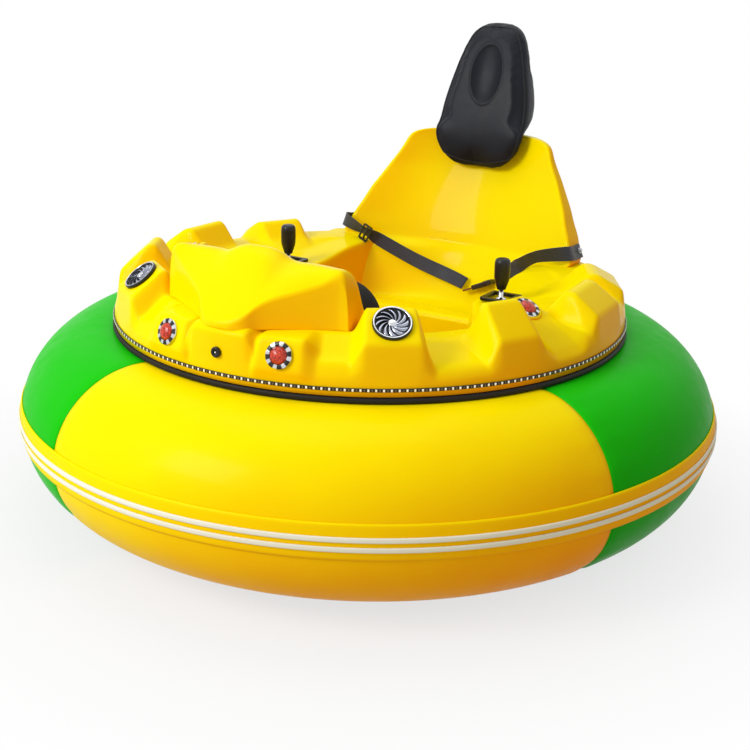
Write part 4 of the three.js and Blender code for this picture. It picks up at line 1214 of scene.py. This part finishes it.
def makeBuckle():
    pitch, roll = (radians(turn) for turn in belt["buckleTurn"])
    button = paintFaces(bevelledBox(*belt["button"]), 1)
    button.transform(Matrix.Translation(belt["buttonPlace"]))
    tongue = paintFaces(bevelledBox(*belt["tongue"]), 2)
    tongue.transform(Matrix.Translation(belt["tonguePlace"]))
    buckle = joinMeshes(bevelledBox(*belt["case"]), button, tongue)
    buckle.transform(Matrix.Translation(belt["buckle"]) @ Matrix.Rotation(pitch, 4, "X")
                     @ Matrix.Rotation(roll, 4, "Y"))
    finishes = [plasticFinish("buckleCase", colour(38, 31, 30), 0.32),
                plasticFinish("buckleButton", colour(60, 34, 28), 0.3),
                metalFinish("warmSteel", colour(150, 104, 84), 0.25)]
    carry(finishMesh("beltBuckle", buckle, finishes, smooth=False, weld=0.00001), "body", "buckle_black",
          "belt_buckle")


def makeBolts():
    for side, sign in (("left", 1), ("right", -1)):
        x, y, z = belt["bolt"]
        head = bmesh.new()
        bmesh.ops.create_cone(head, cap_ends=True, segments=6, radius1=belt["headRadius"],
                              radius2=belt["headRadius"], depth=belt["headTall"])
        bmesh.ops.bevel(head, geom=head.edges, offset=0.0006, affect="EDGES", segments=2, profile=0.5,
                        material=-1)
        head.transform(Matrix.Translation((0, 0, belt["headTall"])))
        bolt = joinMeshes(turnedPiece(belt["washer"], 32), head)
        place = (sign * x, y, z + (belt["boltLift"] if sign < 0 else 0))
        bolt.transform(Matrix.Translation(place) @ Matrix.Rotation(radians(sign * belt["boltTilt"]), 4, "Y"))
        carry(finishMesh(f"beltBolt_{side}", bolt, [brushed], smooth=False, weld=0.00001), "body", "steel",
              f"belt_bolt_{side}")


webbing = webbingFinish()
makeStrap("lapBelt_left", belt["left"], webbing, "lap_belt_left")
makeStrap("lapBelt_right", belt["right"], webbing, "lap_belt_right")
makeBuckle()
makeBolts()
print("lap belt made")

# finishes on the frame pieces that keep their shape
def tyreFinish(name, centre):
    # tread blocks round the wheel's own axis
    made = Finish(name, BaseColor=colour(30, 30, 31), Roughness=0.78)
    x, y, z = (made.node("SeparateXYZ", {}, {0: made.place()}, output=axis) - centre[axis]
               for axis in range(3))
    turn = made.node("Math", {"operation": "ARCTAN2"}, {0: y, 1: z})
    lean = x * 26.0
    blocks = made.node("Math", {"operation": "SINE"}, {0: turn * 34.0 + lean})
    tread = made.spread(blocks, 0, 1, -0.3, 0.1)
    dust = made.noise(40, 5, 0.7)
    made.feed("Base Color", made.blend(made.spread(dust, 0, 0.8), colour(26, 26, 27), colour(62, 59, 55)))
    made.feed("Roughness", made.spread(dust, 0.68, 0.92))
    made.bump(tread + dust * 0.2, 0.8, 0.003)
    return made.material


def dress(name, finish):
    # a new finish on a frame piece
    piece = nodes[name]
    piece.data.materials.clear()
    piece.data.materials.append(finish)


for name in ("chassis_frame", "drive_motor_left", "drive_motor_right", "castor_fork_front",
             "castor_fork_rear"):
    dress(name, darkPaint)
for name in ("wheel_rim_left", "wheel_rim_right"):
    dress(name, brushed)
for name in ("tyre_left", "tyre_right"):
    low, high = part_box(name)
    dress(name, tyreFinish(f"tread_{name}", (low + high) / 2))
for name in ("castor_wheel_front", "castor_wheel_rear"):
    dress(name, tyreRubber)
dress("battery", batteryCase)
dress("belt_adjuster", metalFinish("darkSlide", colour(66, 68, 78), 0.34))
dress("cockpit_floor", yellowGel)
print("frame pieces finished")

# floor, light and camera
def makeFloor():
    # white all round to the camera and in reflections, a plain level to the light
    bm = bmesh.new()
    bmesh.ops.create_grid(bm, x_segments=4, y_segments=4, size=view["floorSize"] / 2)
    floor = finishMesh("floor", bm, [floorFinish()], smooth=False)
    world = bpy.data.worlds.new("studio")
    scene.world = world
    world.use_nodes = True
    tree = world.node_tree
    sky = tree.nodes["Background"]
    level = view["worldLevel"] + (seenDirectly(tree) > 0.5) * (1 - view["worldLevel"])
    sky.inputs["Color"].default_value = (1, 1, 1, 1)
    tree.links.new(level.output, sky.inputs["Strength"])


makeFloor()
addLamps()
addCamera()
print("floor, lamps and camera set")
